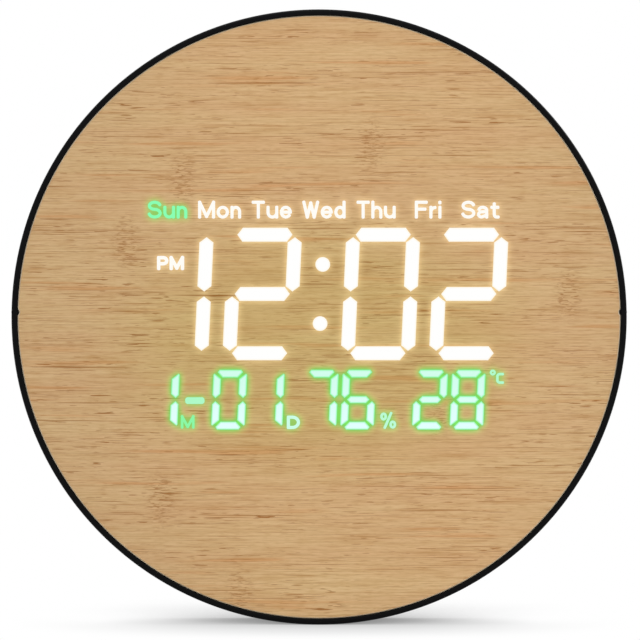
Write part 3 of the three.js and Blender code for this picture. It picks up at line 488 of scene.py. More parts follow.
def node_tree(name, inputs):
    """New geometry tree and the sockets of its named inputs"""
    tree = bpy.data.node_groups.new(name, "GeometryNodeTree")
    tree.interface.new_socket("Geometry", in_out="OUTPUT", socket_type="NodeSocketGeometry")
    for socket, kind in inputs.items():
        tree.interface.new_socket(socket, in_out="INPUT", socket_type=f"NodeSocket{kind}")
    return tree, add_node(tree, "NodeGroupInput").outputs


def end_tree(tree, geometry, finish):
    """Geometry tree closed with the nodes that make its instances real and give them their finish"""
    real = add_node(tree, "GeometryNodeRealizeInstances", {"Geometry": geometry}).outputs["Geometry"]
    finished = add_node(tree, "GeometryNodeSetMaterial", {"Geometry": real, "Material": finish})
    add_node(tree, "NodeGroupOutput", {"Geometry": finished.outputs["Geometry"]})
    return tree


def grown(made, tree, values, name):
    """Plain mesh of an object after a geometry tree whose named inputs are given"""
    step = made.modifiers.new("nodes", "NODES")
    step.node_group = tree
    for socket in tree.interface.items_tree:
        if socket.name in values and socket.in_out == "INPUT":
            step[socket.identifier] = values[socket.name]
    return evaluated(made, name)


def calculate(tree, operation, first, second=0.0):
    """Result of one sum in a shader"""
    return add_node(tree, "ShaderNodeMath", {0: first, 1: second}, operation=operation).outputs[0]


def stored(tree, attribute):
    """Value that a mesh keeps under a name"""
    return add_node(tree, "ShaderNodeAttribute", attribute_name=attribute).outputs["Fac"]


def blend_colours(tree, factor, first, second, mode="MIX"):
    """Two colours mixed by a factor"""
    sockets = {0: factor, 6: first, 7: second}
    return add_node(tree, "ShaderNodeMix", sockets, data_type="RGBA", blend_type=mode).outputs[2]


def rgba(linear):
    """Colour with full alpha"""
    return (*linear, 1.0)


def stretch(tree, value, low, high, to_low=0.0, to_high=1.0):
    """Value carried from one range to another, with soft ends"""
    sockets = {"Value": value, "From Min": low, "From Max": high, "To Min": to_low, "To Max": to_high}
    node = add_node(tree, "ShaderNodeMapRange", sockets, interpolation_type="SMOOTHSTEP")
    return node.outputs["Result"]


def grain(tree, vector, scale, detail=2.0, roughness=0.5, distortion=0.0):
    """Noise whose features per metre are given for each axis"""
    spread = add_node(tree, "ShaderNodeMapping", {"Vector": vector, "Scale": scale}).outputs[0]
    sockets = {"Vector": spread, "Scale": 1.0, "Detail": detail, "Roughness": roughness,
               "Distortion": distortion}
    return add_node(tree, "ShaderNodeTexNoise", sockets).outputs["Fac"]


def new_material(name):
    """Empty material, its tree and the place vector of the piece"""
    material = bpy.data.materials.new(name)
    material.use_nodes = True
    tree = material.node_tree
    tree.nodes.clear()
    place = add_node(tree, "ShaderNodeTexCoord").outputs["Object"]
    return material, tree, place


def surface(tree, sockets):
    """Surface of a material"""
    shader = add_node(tree, "ShaderNodeBsdfPrincipled", sockets)
    add_node(tree, "ShaderNodeOutputMaterial", {"Surface": shader.outputs[0]})


def raised(tree, height, distance):
    """Normal of a surface with fine relief"""
    return add_node(tree, "ShaderNodeBump", {"Height": height, "Distance": distance}).outputs[0]


# Features per metre of the finishes, spans of noise that they use, how far their roughness strays, and
# the tones and reliefs of the metals and the board
SPARK = 2600.0
FINE_SPARK = 3000.0
MOTTLE = 90.0
TARNISH = 160.0
BRUSHING = (300.0, 300.0, 4000.0)
TRACKS = 260.0
MASK_GRAIN = 900.0
MIDDLE_SPAN = (0.3, 0.7)
WIDE_SPAN = (0.25, 0.75)
TARNISH_SPAN = (0.35, 0.75)
SPARK_STRAY = 0.06
BRUSH_STRAY = (-0.08, 0.1)
TARNISH_SHADE = 0.8
BRUSH_RELIEF = 0.01 * MM
MASK_ROUGHNESS = (0.3, 0.45)
MASK_TONES = (srgb(24, 92, 54), srgb(28, 104, 60))
TRACK_TONE = srgb(52, 140, 84)
TRACK_WIDTH = 0.06
TRACK_RELIEF = 0.02 * MM


def plastic(name, tone, roughness, pits=SPARK, depth=0.02 * MM, specular=0.3, mottle=0.12):
    """Moulded plastic with a fine spark texture and a faint mottle"""
    material, tree, place = new_material(name)
    fine = grain(tree, place, (pits,) * 3, detail=3.0)
    broad = stretch(tree, grain(tree, place, (MOTTLE,) * 3), *MIDDLE_SPAN)
    dark = rgba([c * (1 - mottle) for c in tone])
    pale = rgba([min(1.0, c * (1 + mottle)) for c in tone])
    surface(tree, {
        "Base Color": blend_colours(tree, broad, dark, pale),
        "Roughness": stretch(tree, fine, *WIDE_SPAN, roughness - SPARK_STRAY, roughness + SPARK_STRAY),
        "Specular IOR Level": specular,
        "Normal": raised(tree, fine, depth),
    })
    return material


def metal(name, tone, roughness):
    """Metal with fine brushing and a little tarnish"""
    material, tree, place = new_material(name)
    lines = grain(tree, place, BRUSHING)
    tarnish = stretch(tree, grain(tree, place, (TARNISH,) * 3, detail=3.0), *TARNISH_SPAN)
    dark = rgba([c * TARNISH_SHADE for c in tone])
    surface(tree, {
        "Base Color": blend_colours(tree, tarnish, rgba(tone), dark),
        "Metallic": 1.0,
        "Roughness": stretch(tree, lines, *WIDE_SPAN, *[roughness + stray for stray in BRUSH_STRAY]),
        "Normal": raised(tree, lines, BRUSH_RELIEF),
    })
    return material


def circuit_board(name):
    """Green solder mask over copper tracks"""
    material, tree, place = new_material(name)
    spread = add_node(tree, "ShaderNodeMapping", {"Vector": place, "Scale": (TRACKS, 1.0, TRACKS)})
    flat = add_node(tree, "ShaderNodeMapping", {
        "Vector": spread.outputs[0], "Rotation": (-math.pi / 2, 0.0, 0.0)})
    cells = add_node(tree, "ShaderNodeTexBrick", {
        "Vector": flat.outputs[0], "Scale": 1.0, "Mortar Size": TRACK_WIDTH, "Mortar": rgba(TRACK_TONE),
        "Color1": rgba(MASK_TONES[0]), "Color2": rgba(MASK_TONES[1])})
    mask = grain(tree, place, (MASK_GRAIN,) * 3)
    surface(tree, {
        "Base Color": cells.outputs["Color"],
        "Roughness": stretch(tree, mask, *MIDDLE_SPAN, *MASK_ROUGHNESS),
        "Normal": raised(tree, cells.outputs["Fac"], TRACK_RELIEF),
    })
    return material


# Middles of the bamboo's nodes on the face in millimetres, their half sizes, and how their edges fade
BAMBOO_NODES = (
    (21.5, 71.3), (-56.5, 56.2), (-79.7, 31.2), (-65.6, -75.8), (102.9, 9.5), (48.9, -39.3),
    (-32.8, -113.5),
)
NODE_HALF_SIZES = (8 * MM, 16 * MM)
NODE_FADE = (1.0, 0.3)

# Where the grain starts, and how far and how often it sways
GRAIN_START = (0.737, 0.413)
SWAY_LIFT = 0.5 * MM
SWAY = (9.0, 1.0, 26.0)

# Layers of the grain: features per metre across and up, the span of noise that shows, and how strongly
BANDS = (9.0, 110.0, 0.32, 0.68, 1.0)
EMBERS = ((12.0, 300.0, 0.58, 0.7, 0.7),)
FIBRES = (
    (30.0, 420.0, 0.52, 0.74, 0.28), (22.0, 1700.0, 0.42, 0.7, 0.27), (80.0, 2200.0, 0.45, 0.7, 0.28),
    (220.0, 2300.0, 0.45, 0.7, 0.26),
)
STREAKS = (
    (12.0, 1500.0, 0.63, 0.67, 1.0), (28.0, 1900.0, 0.63, 0.67, 1.0), (60.0, 2200.0, 0.63, 0.68, 1.0),
    (160.0, 2400.0, 0.64, 0.7, 0.8), (75.0, 1000.0, 0.65, 0.675, 1.0),
)
FLOCKS = (16.0, 110.0, 0.38, 0.62, 1.0)
NODE_DASHES = (280.0, 2000.0, 0.49, 0.62, 0.8)
FLOCK_LEAST = 0.25
STREAK_SHARE = 0.8
STREAK_SINK = 0.006 * MM
WOOD_ROUGHNESS = (0.5, 0.66)

# Painted light and shade: middle and half sizes of an ellipse on the face, where it starts and where it is
# full, and the tint. The sides get painted shade, the foot gets painted light that lifts the floor's shade,
# and the wood round the display gets a painted tint of the display's light.
PAINTED_LIGHT_TONES = (
    ((15 * MM, 0.0), (100 * MM, 400 * MM), 0.4, 1.3, (0.93, 0.955, 0.97, 1.0)),
    ((0.0, -127 * MM), (90 * MM, 40 * MM), 1.0, 0.2, (1.07, 1.13, 1.15, 1.0)),
    ((0.0, -12 * MM), (85 * MM, 52 * MM), 1.25, 0.5, (0.915, 0.985, 0.8, 1.0)),
)

# Green light in the wood: the share that hides the wood, and how bright the legends' light is
GREEN_CLOSES = 0.75
LEGEND_GLOW = 0.75


def ellipse(tree, place, spot, half_sizes, start, full):
    """Factor that grows from none to all between two sizes of an ellipse on the face"""
    (x, z), (half_width, half_height) = spot, half_sizes
    offset = add_node(tree, "ShaderNodeMapping", {
        "Vector": place, "Location": (-x / half_width, 0.0, -z / half_height),
        "Scale": (1 / half_width, 0.0, 1 / half_height)}).outputs[0]
    away = add_node(tree, "ShaderNodeVectorMath", {0: offset}, operation="LENGTH").outputs["Value"]
    return stretch(tree, away, start, full)


def bamboo(face, display):
    """Bamboo veneer with fibres, dark streaks and nodes, and the display's light spreading in it"""
    material, tree, place = new_material("bamboo_veneer")
    start_x, start_z = GRAIN_START
    sway = grain(tree, place, SWAY, detail=1.0)
    lift = stretch(tree, sway, 0.0, 1.0, start_z - SWAY_LIFT, start_z + SWAY_LIFT)
    start = add_node(tree, "ShaderNodeCombineXYZ", {"X": start_x, "Z": lift}).outputs[0]
    along = add_node(tree, "ShaderNodeVectorMath", {0: place, 1: start}, operation="ADD").outputs[0]

    def layer(across, up, low, high, most, least=0.0, **noise):
        return stretch(tree, grain(tree, along, (across, 1.0, up), **noise), low, high, least, most)

    # Nodes of the bamboo: patches of short wavy dashes
    patches = 0.0
    for x, z in BAMBOO_NODES:
        patch = ellipse(tree, place, (x * MM, z * MM), NODE_HALF_SIZES, *NODE_FADE)
        patches = calculate(tree, "MAXIMUM", patch, patches)
    dashes = layer(*NODE_DASHES, roughness=0.6, distortion=0.6)
    dashes = calculate(tree, "MULTIPLY", dashes, patches)

    # Tone, fibres and streaks
    bands = layer(*BANDS, detail=3.0, roughness=0.6)
    wood = blend_colours(tree, bands, rgba(face.light_wood), rgba(face.warm_wood))
    for tone, layers in ((face.ember, EMBERS), (face.fibre, FIBRES)):
        for numbers in layers:
            wood = blend_colours(tree, layer(*numbers), wood, rgba(tone))
    marks = 0.0
    for numbers in STREAKS:
        marks = calculate(tree, "MAXIMUM", layer(*numbers), marks)
    marks = calculate(tree, "MULTIPLY", marks, layer(*FLOCKS, least=FLOCK_LEAST))
    marks = calculate(tree, "MAXIMUM", marks, dashes)
    wood = blend_colours(tree, calculate(tree, "MULTIPLY", marks, STREAK_SHARE), wood, rgba(face.streak))
    # Painted shade darkens the sides, painted light lifts the foot, and a painted tint of the display's
    # light colours the wood round it
    for spot, half_sizes, begin, full, tone in PAINTED_LIGHT_TONES:
        shown = ellipse(tree, place, spot, half_sizes, begin, full)
        wood = blend_colours(tree, shown, wood, tone, "MULTIPLY")
    wood = blend_colours(tree, stored(tree, "cut_edge"), wood, rgba(face.cut_edge))

    # Light that spreads in the wood beside the lit shapes
    white = calculate(tree, "ADD", stored(tree, "white_glow"), stored(tree, "word_glow"))
    legends = calculate(tree, "MULTIPLY", stored(tree, "legend_glow"), LEGEND_GLOW)
    green = calculate(tree, "ADD", stored(tree, "green_glow"), legends)
    wood = blend_colours(tree, stretch(tree, green, 0.0, GREEN_CLOSES), wood, BLACK)
    light = blend_colours(tree, white, BLACK, rgba(display.white_halo))
    tint = blend_colours(tree, green, BLACK, rgba(display.green_halo))
    surface(tree, {
        "Base Color": wood,
        "Roughness": stretch(tree, marks, 0.0, 1.0, *WOOD_ROUGHNESS),
        "Specular IOR Level": 0.22,
        "Emission Color": blend_colours(tree, 1.0, light, tint, "ADD"),
        "Emission Strength": 1.0,
        "Normal": raised(tree, marks, -STREAK_SINK),
    })
    return material


def lit(name, tones, fade=0.0):
    """Lit shape that pales from its first tone to its last, and loses some of that up a small digit"""
    material, tree, place = new_material(name)
    height = add_node(tree, "ShaderNodeSeparateXYZ", {0: place}).outputs["Z"]
    lost = stretch(tree, height, SMALL_BOTTOM, SMALL_TOP, 0.0, fade)
    paleness = calculate(tree, "SUBTRACT", stored(tree, "core"), lost)
    ramp = add_node(tree, "ShaderNodeValToRGB", {0: paleness})
    stops = ramp.color_ramp.elements
    stops[0].color = rgba(tones[0])
    stops[1].color = rgba(tones[2])
    stops.new(RIM_LEVEL).color = rgba(tones[1])
    surface(tree, {
        "Base Color": BLACK,
        "Roughness": 0.6,
        "Specular IOR Level": 0.0,
        "Emission Color": ramp.outputs["Color"],
        "Emission Strength": 1.0,
    })
    return material


# Case ring


def make_case_ring(case):
    """Ring with its round lip, ledge, screw bosses, locating keys and cable notch"""
    outer, inner = CASE_HIGH.x, CASE_HIGH.x - case.wall
    front, back = CASE_LOW.y, CASE_HIGH.y
    ledge = inner - LEDGE_WIDTH
    ledge_front = LEDGE_FRONT + SEAT
    ledge_back = ledge_front + LEDGE_THICKNESS
    edge = case.edge_round
    corners = [
        (inner, front), (outer, front), (outer, back), (inner, back),
        (inner, ledge_back), (ledge, ledge_back), (ledge, ledge_front), (inner, ledge_front),
    ]
    profile = rounded(corners, [edge, case.lip_round, edge, edge, 0, edge, edge, 0])
    changes = []
    boss_front = (ledge_front + ledge_back) / 2
    boss_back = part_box(CASE_SCREWS[0])[1].y - LEDGE_THICKNESS
    for node in CASE_SCREWS:
        spot = middle(node)
        reach = math.hypot(spot.x, spot.z)
        turn = Matrix.Rotation(-math.atan2(spot.z, spot.x), 4, "Y")
        web = rectangle(reach, inner + case.wall / 2, -BOSS_DIAMETER / 2, BOSS_DIAMETER / 2)
        changes.append(("UNION", drum(spot.x, spot.z, BOSS_DIAMETER / 2, boss_front, boss_back)))
        changes.append(("UNION", loft([(boss_front, web), (boss_back, web)], turn)))
    for node in CASE_SCREWS:
        low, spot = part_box(node)[0], middle(node)
        hole = drum(spot.x, spot.z, SCREW_SHANK / 2 + FIT, low.y - OVERCUT, boss_back + OVERCUT)
        changes.append(("DIFFERENCE", hole))
    for x, z in locating_keys(inner):
        changes.append(("UNION", drum(x, z, LOCATING_KEY_RADIUS, front + LOCATING_KEY_SINK, boss_front)))
    half = CHANNEL_WIDTH / 2
    notch = block(-half, half, back - CHANNEL_DEPTH, back + OVERCUT, -outer - OVERCUT, -ledge)
    changes.append(("DIFFERENCE", notch))
    mesh = carved("case_shell", lathe(profile, RIM_STEPS, closed=True), changes)
    finish = plastic("satin_black", case.black, case.roughness, depth=0.006 * MM, specular=0.06)
    place_piece("case_shell", mesh, finish, "case", ["case_ring"])


def locating_keys(inner):
    """Middles of the two half-round keys on the ring's inner edge"""
    reach = inner + LOCATING_KEY_RADIUS - LOCATING_KEY_REACH
    return [(reach, LOCATING_KEY_RISE), (-reach, LOCATING_KEY_RISE)]


# Bamboo face


def face_outline(radius, notch, keys):
    """Outline of the face: a circle with a round notch at each locating key"""
    outline = []
    stops = []
    for x, z in keys:
        far = math.hypot(x, z)
        spread = math.acos((radius ** 2 + far ** 2 - notch ** 2) / (2 * radius * far))
        toward = math.atan2(z, x) % (2 * math.pi)
        stops.append((toward, spread, (x, z)))
    for i, (toward, spread, centre) in enumerate(stops):
        following, next_spread, _ = stops[(i + 1) % len(stops)]
        ends = (toward - spread, toward + spread)
        corners = [(radius * math.cos(angle), radius * math.sin(angle)) for angle in ends]
        start, end = [math.atan2(q - centre[1], p - centre[0]) for p, q in corners]
        end = start - (start - end) % (2 * math.pi)
        outline += arc(centre, (notch, notch), math.degrees(start), math.degrees(end), ARC_STEPS)
        start = toward + spread
        end = start + (following - next_spread - start) % (2 * math.pi)
        run = [math.degrees(start), math.degrees(end)]
        outline += arc((0.0, 0.0), (radius, radius), *run, RIM_STEPS // 2)[1:-1]
    return outline


def face_mesh(face, inner, lit_low, lit_high):
    """Veneer with an eased edge, and a fine grid of points where the display's light spreads"""
    keys = locating_keys(inner)
    notch = LOCATING_KEY_RADIUS + FIT
    radius = FACE_HIGH.z
    edge = face.edge
    front, back = FACE_LOW.y, FACE_HIGH.y
    rim = face_outline(radius, notch, keys)
    inset = face_outline(radius - edge, notch + edge, keys)

    columns = round((lit_high.x - lit_low.x) / face.grid)
    rows = round((lit_high.y - lit_low.y) / face.grid)
    verts = []
    for j in range(rows + 1):
        for i in range(columns + 1):
            x = lit_low.x + (lit_high.x - lit_low.x) * i / columns
            z = lit_low.y + (lit_high.y - lit_low.y) * j / rows
            verts.append((x, front, z))
    wide = columns + 1
    faces = []
    for j in range(rows):
        for i in range(columns):
            a = j * wide + i
            faces.append((a, a + 1, a + wide + 1, a + wide))

    # Triangles between the grid's border and the eased edge
    border = list(range(wide))
    border += [j * wide + columns for j in range(1, rows + 1)]
    border += [rows * wide + i for i in range(columns - 1, -1, -1)]
    border += [j * wide for j in range(rows - 1, 0, -1)]
    inset_at = len(verts)
    verts += [(x, front, z) for x, z in inset]
    rim_at = len(verts)
    verts += [(x, front + edge, z) for x, z in rim]
    back_at = len(verts)
    verts += [(x, back, z) for x, z in rim]
    loops = [border, list(range(inset_at, rim_at))]
    flat = [Vector((verts[v][0], verts[v][2])) for loop in loops for v in loop]
    names = [v for loop in loops for v in loop]
    lines = []
    start = 0
    for loop in loops:
        lines += [(start + i, start + (i + 1) % len(loop)) for i in range(len(loop))]
        start += len(loop)
    points, _, triangles, sources, _, _ = delaunay_2d_cdt(flat, lines, [], 1, MERGE)
    for triangle in triangles:
        x, z = sum((points[v] for v in triangle), Vector((0.0, 0.0))) / 3
        if lit_low.x < x < lit_high.x and lit_low.y < z < lit_high.y:
            continue
        faces.append(tuple(names[sources[v][0]] for v in triangle))
    edge_from = len(faces)
    count = len(rim)
    for low, high in ((inset_at, rim_at), (rim_at, back_at)):
        faces += [(low + i, low + (i + 1) % count, high + (i + 1) % count, high + i) for i in range(count)]
    faces.append(tuple(range(back_at, back_at + count)))

    mesh = bpy.data.meshes.new("veneer")
    mesh.from_pydata(verts, [], faces)
    cut = mesh.attributes.new("cut_edge", "FLOAT", "FACE")
    eased = range(edge_from, edge_from + 2 * count)
    cut.data.foreach_set("value", [float(i in eased) for i in range(len(faces))])
    solid = bmesh.new()
    solid.from_mesh(mesh)
    return cleaned(mesh, solid)


# Lit pieces and the names under which the veneer keeps their light
LIGHT_SOURCES = {
    "lit_time": "white_glow", "lit_words": "word_glow",
    "lit_readings": "green_glow", "lit_legends": "legend_glow",
}

# Spread of the light: room for it in halos, blur steps for a halo as wide as the grid, and the height
# within which a point counts as lit, in heights of the lit shapes
HALO_ROOM = 4
HALO_STEPS = 2.5
LIT_HEIGHT = 1.1


def light_spread_tree():
    """Node tree that spreads the light of each group of lit shapes over the veneer's points"""
    inputs = {"Geometry": "Geometry", "Finish": "Material", "Touch": "Float", "Soft edge": "Float",
              "Spread": "Int", **dict.fromkeys(LIGHT_SOURCES, "Object")}
    tree, enter = node_tree("light_spread", inputs)
    geometry = enter["Geometry"]
    for source, attribute in LIGHT_SOURCES.items():
        shapes = add_node(tree, "GeometryNodeObjectInfo", {"Object": enter[source]}).outputs["Geometry"]
        near = add_node(tree, "GeometryNodeProximity", {0: shapes}, target_element="FACES")
        under = add_node(tree, "ShaderNodeMapRange", {
            "Value": near.outputs["Distance"], "From Min": enter["Touch"], "From Max": enter["Soft edge"],
            "To Min": 1.0, "To Max": 0.0}).outputs["Result"]
        spread = add_node(tree, "GeometryNodeBlurAttribute", {
            0: under, "Iterations": enter["Spread"], "Weight": 1.0}, data_type="FLOAT").outputs[0]
        geometry = add_node(tree, "GeometryNodeStoreNamedAttribute", {
            "Geometry": geometry, "Name": attribute, "Value": spread,
        }, data_type="FLOAT", domain="POINT").outputs["Geometry"]
    return end_tree(tree, geometry, enter["Finish"])


def make_bamboo_face(case, face, display):
    """Veneer that carries the light of the lit shapes"""
    sources = {name: bpy.data.objects[name] for name in LIGHT_SOURCES}
    corners = [Vector(corner) for source in sources.values() for corner in source.bound_box]
    reach = HALO_ROOM * display.halo
    low = Vector((min(c.x for c in corners) - reach, min(c.z for c in corners) - reach))
    high = Vector((max(c.x for c in corners) + reach, max(c.z for c in corners) + reach))
    finish = bamboo(face, display)
    blank = helper("veneer_blank", face_mesh(face, CASE_HIGH.x - case.wall, low, high))
    values = {
        "Finish": finish, "Touch": LIT_HEIGHT * display.proud, "Soft edge": face.grid,
        "Spread": round(HALO_STEPS * (display.halo / face.grid) ** 2), **sources,
    }
    mesh = grown(blank, light_spread_tree(), values, "bamboo_face")
    soften(mesh)
    place_piece("bamboo_face", mesh, finish, "case", ["bamboo_veneer"])


# Lit display


def slanted(points, x, z):
    """Points of a digit leaned to the right about its middle"""
    return [(x + u + v * DIGIT_SLANT, z + v) for u, v in points]


def big_bar(start, end):
    """Six-sided bar with pointed ends, between two corners of a large digit"""
    start, end = Vector(start), Vector(end)
    along = (end - start).normalized()
    across = Vector((-along.y, along.x))
    tip = (end - start).length / 2 - BIG_TIP_SETBACK
    shoulder = tip - BIG_TIP_DEPTH
    half = BIG_STROKE / 2
    outline = [
        (-tip, 0), (-shoulder, -half), (shoulder, -half), (tip, 0), (shoulder, half), (-shoulder, half),
    ]
    return [tuple((start + end) / 2 + along * a + across * b) for a, b in outline]


def big_digit(figure, x):
    """Lit bars of one large digit"""
    side, rise = (BIG_WIDTH - BIG_STROKE) / 2, (BIG_HEIGHT - BIG_STROKE) / 2
    runs = {
        "A": ((-side, rise), (side, rise)), "G": ((-side, 0), (side, 0)),
        "D": ((-side, -rise), (side, -rise)),
        "B": ((side, 0), (side, rise)), "C": ((side, -rise), (side, 0)),
        "E": ((-side, -rise), (-side, 0)), "F": ((-side, 0), (-side, rise)),
    }
    return [slanted(big_bar(*runs[bar]), x, BIG_RISE) for bar in SEGMENTS[figure]]


def small_digit(figure, x):
    """Lit bars of one small digit, with mitred ends"""
    side, rise = SMALL_WIDTH / 2, SMALL_HEIGHT / 2
    inner = side - SMALL_STROKE
    low = rise - SMALL_STROKE
    upright = [
        (side, WAIST_OUTER), (side, rise - UPRIGHT_SHOULDER),
        (side - UPRIGHT_TIP[0], rise - UPRIGHT_TIP[1]),
        (inner, low - SMALL_JOINT), (inner, WAIST_INNER), (side - WAIST_TIP[0], WAIST_TIP[1]),
    ]
    half_top = [
        (side - TOP_SHOULDER, rise), (side - TOP_TIP[0], rise - TOP_TIP[1]), (inner - SMALL_JOINT, low),
    ]
    top = half_top + [(-u, v) for u, v in reversed(half_top)]
    tip, shoulder, half = side - WAIST_BAR[0], side - WAIST_BAR[1], WAIST_BAR[2]
    waist = [
        (tip, 0), (shoulder, half), (-shoulder, half), (-tip, 0), (-shoulder, -half), (shoulder, -half),
    ]

    def flip(points, across, up):
        return [(u * across, v * up) for u, v in points]

    bars = {
        "A": top, "B": upright, "C": flip(upright, 1, -1), "D": flip(top, 1, -1),
        "E": flip(upright, -1, -1), "F": flip(upright, -1, 1), "G": waist,
    }
    return [slanted(bars[bar], x, SMALL_MIDDLE) for bar in SEGMENTS[figure]]


def time_shapes(figures):
    """Lit bars and dots of the time"""
    pitch, pair = BIG_WIDTH + BIG_GAP, (COLON_GAP + BIG_WIDTH) / 2
    shapes = []
    for figure, x in zip(figures, (-pair - pitch, -pair, pair, pair + pitch)):
        shapes += big_digit(figure, DISPLAY_SHIFT + x)
    for up in (-1, 1):
        spot = slanted([(0, up * COLON_SPACING / 2)], DISPLAY_SHIFT, BIG_RISE)[0]
        shapes.append(circle(spot, COLON_DOT / 2, BORE_STEPS))
    return shapes


def reading_places():
    """Left edges of the small digits and of their legends, from left to right"""
    pair = 2 * SMALL_WIDTH + SMALL_GAP
    month = SMALL_STROKE + SMALL_GAP + SMALL_WIDTH
    legend = LEGEND_GAP + LEGEND_WIDTH
    total = month + DATE_FIELD + 3 * pair + 3 * legend + DAY_TO_HUMIDITY + HUMIDITY_TO_TEMPERATURE
    x = DISPLAY_SHIFT + SMALL_SHIFT - total / 2 + SMALL_STROKE + SMALL_GAP
    digits = [x]
    x += SMALL_WIDTH
    legends = [x + LEGEND_GAP]
    dash = x + DATE_FIELD / 2
    x += DATE_FIELD
    for after in (DAY_TO_HUMIDITY, HUMIDITY_TO_TEMPERATURE, 0):
        digits += [x, x + SMALL_WIDTH + SMALL_GAP]
        x += pair
        legends.append(x + LEGEND_GAP)
        x += legend + after
    return digits, legends, dash


def reading_shapes(figures):
    """Lit bars of the small digits"""
    shapes = []
    for figure, left in zip(figures, reading_places()[0]):
        shapes += small_digit(figure, left + SMALL_WIDTH / 2)
    return shapes


# Turn below which two sides of an outline count as one line
STRAIGHT = 1e-6


def inset_outline(outline, distance):
    """Convex outline moved inwards all round"""
    count = len(outline)
    area = sum(outline[i - 1][0] * outline[i][1] - outline[i][0] * outline[i - 1][1] for i in range(count))
    inward = 1 if area > 0 else -1
    lines = []
    for i in range(count):
        here, there = Vector(outline[i]), Vector(outline[(i + 1) % count])
        along = (there - here).normalized()
        lines.append((here + Vector((-along.y, along.x)) * distance * inward, along))
    moved = []
    for i in range(count):
        (first, ahead), (second, onward) = lines[i - 1], lines[i]
        turn = ahead.x * onward.y - ahead.y * onward.x
        if abs(turn) < STRAIGHT:
            moved.append(tuple(second))
            continue
        gap = second - first
        moved.append(tuple(first + ahead * (gap.x * onward.y - gap.y * onward.x) / turn))
    return moved


def lit_bar(solid, core, outline, rim, front, back):
    """Adds a bar to a solid, with a rim round its pale middle"""
    rings = []
    inner = inset_outline(outline, rim)
    for y, points, level in ((back, outline, RIM_LEVEL), (front, outline, RIM_LEVEL), (front, inner, 1.0)):
        ring = [solid.verts.new((x, y, z)) for x, z in points]
        for vert in ring:
            vert[core] = level
        rings.append(ring)
    join_rings(solid, rings)


# Letters drawn as strokes in a unit square, which runs between the middles of the outer strokes
ASCENDER = (WORD_CAP - WORD_STROKE) / (WORD_X_HEIGHT - WORD_STROKE)
ARCH = 0.46


def ring_strokes(centre, radii):
    """Closed round stroke, drawn as two overlapping halves"""
    return [arc(centre, radii, -5, 185), arc(centre, radii, 175, 365)]


def letter_strokes(letter):
    """Strokes of one letter"""
    stem = [(0, 0), (0, 1)]
    bowl = ring_strokes((0.5, 0.5), (0.5, 0.5))
    arch = [(0, 1 - ARCH)] + arc((0.5, 1 - ARCH), (0.5, ARCH), 180, 0) + [(1, 0)]
    letters = {
        "S": [arc((0.5, 0.76), (0.48, 0.24), 18, 270) + arc((0.5, 0.26), (0.5, 0.26), 90, -165)[1:]],
        "M": [stem, [(0, 1), (0.5, 0.04)], [(0.5, 0.04), (1, 1)], [(1, 0), (1, 1)]],
        "T": [[(0, 1), (1, 1)], [(0.5, 1), (0.5, 0)]],
        "W": [[(0, 1), (0.25, 0)], [(0.25, 0), (0.5, 0.95)], [(0.5, 0.95), (0.75, 0)], [(0.75, 0), (1, 1)]],
        "F": [stem, [(0, 1), (1, 1)], [(0, 0.53), (0.86, 0.53)]],
        "P": [stem, [(0, 1), (0.55, 1)] + arc((0.55, 0.72), (0.45, 0.28), 90, -90) + [(0, 0.44)]],
        "D": [stem, [(0, 1), (0.4, 1)] + arc((0.4, 0.5), (0.6, 0.5), 90, -90) + [(0, 0)]],
        "C": [[(1, 1), (0.45, 1)] + arc((0.45, 0.72), (0.45, 0.28), 90, 180)
              + arc((0.45, 0.28), (0.45, 0.28), 180, 270) + [(1, 0)]],
        "%": ring_strokes((0.12, 0.78), (0.17, 0.2)) + ring_strokes((0.86, 0.2), (0.17, 0.2))
             + [[(0.22, -0.02), (0.72, 1.02)]],
        "u": [[(0, 1), (0, ARCH)] + arc((0.5, ARCH), (0.5, ARCH), 180, 360) + [(1, ARCH)],
              [(1, 1), (1, 0)]],
        "n": [stem, arch],
        "h": [[(0, 0), (0, ASCENDER)], arch],
        "o": bowl,
        "e": [[(0.04, 0.5), (1, 0.5)], arc((0.5, 0.5), (0.5, 0.5), 0, 318, 20)],
        "d": bowl + [[(1, 0), (1, ASCENDER)]],
        "a": [[(0.06, 0.8)] + arc((0.48, 0.7), (0.46, 0.3), 150, 0) + [(0.94, 0)],
              [(0.94, 0.56), (0.36, 0.53)] + arc((0.36, 0.265), (0.36, 0.265), 90, 270) + [(0.94, 0.2)]],
        "r": [stem, arc((1, 0.5), (1, 0.48), 180, 95)],
        "i": [stem, [(0, ASCENDER - 0.06), (0, ASCENDER)]],
        "t": [[(0.38, 1.36), (0.38, 0.3)] + arc((0.72, 0.3), (0.34, 0.3), 180, 270) + [(1, 0)],
              [(0, 1), (0.95, 1)]],
    }
    return letters[letter]


# Widths of the weekdays' letters in millimetres
LETTER_WIDTHS = {
    "S": 5.9, "M": 7.05, "T": 5.5, "W": 7.0, "F": 5.4, "u": 4.9, "n": 4.45, "o": 5.1, "e": 5.0, "d": 4.7,
    "h": 4.6, "r": 3.1, "i": 1.45, "a": 4.9, "t": 3.9,
}

# Softly squared end of a stroke, across and ahead in halves of its width
STROKE_END = ((1, 0.5), (0.5, 1), (-0.5, 1), (-1, 0.5))


def ribbon(points, half):
    """Outline of a stroke of even width with softly squared ends, counter-clockwise"""
    path = [Vector(point) for point in points]
    sides = []
    for i, here in enumerate(path):
        along = (path[min(i + 1, len(path) - 1)] - path[max(i - 1, 0)]).normalized()
        sides.append((here, Vector((-along.y, along.x)) * half, along * half))
    outline = [here + across for here, across, _ in sides]
    here, across, ahead = sides[-1]
    outline += [here + across * a + ahead * b for a, b in STROKE_END]
    outline += [here - across for here, across, _ in reversed(sides)]
    here, across, ahead = sides[0]
    outline += [here - across * a - ahead * b for a, b in STROKE_END]
    return outline[::-1]


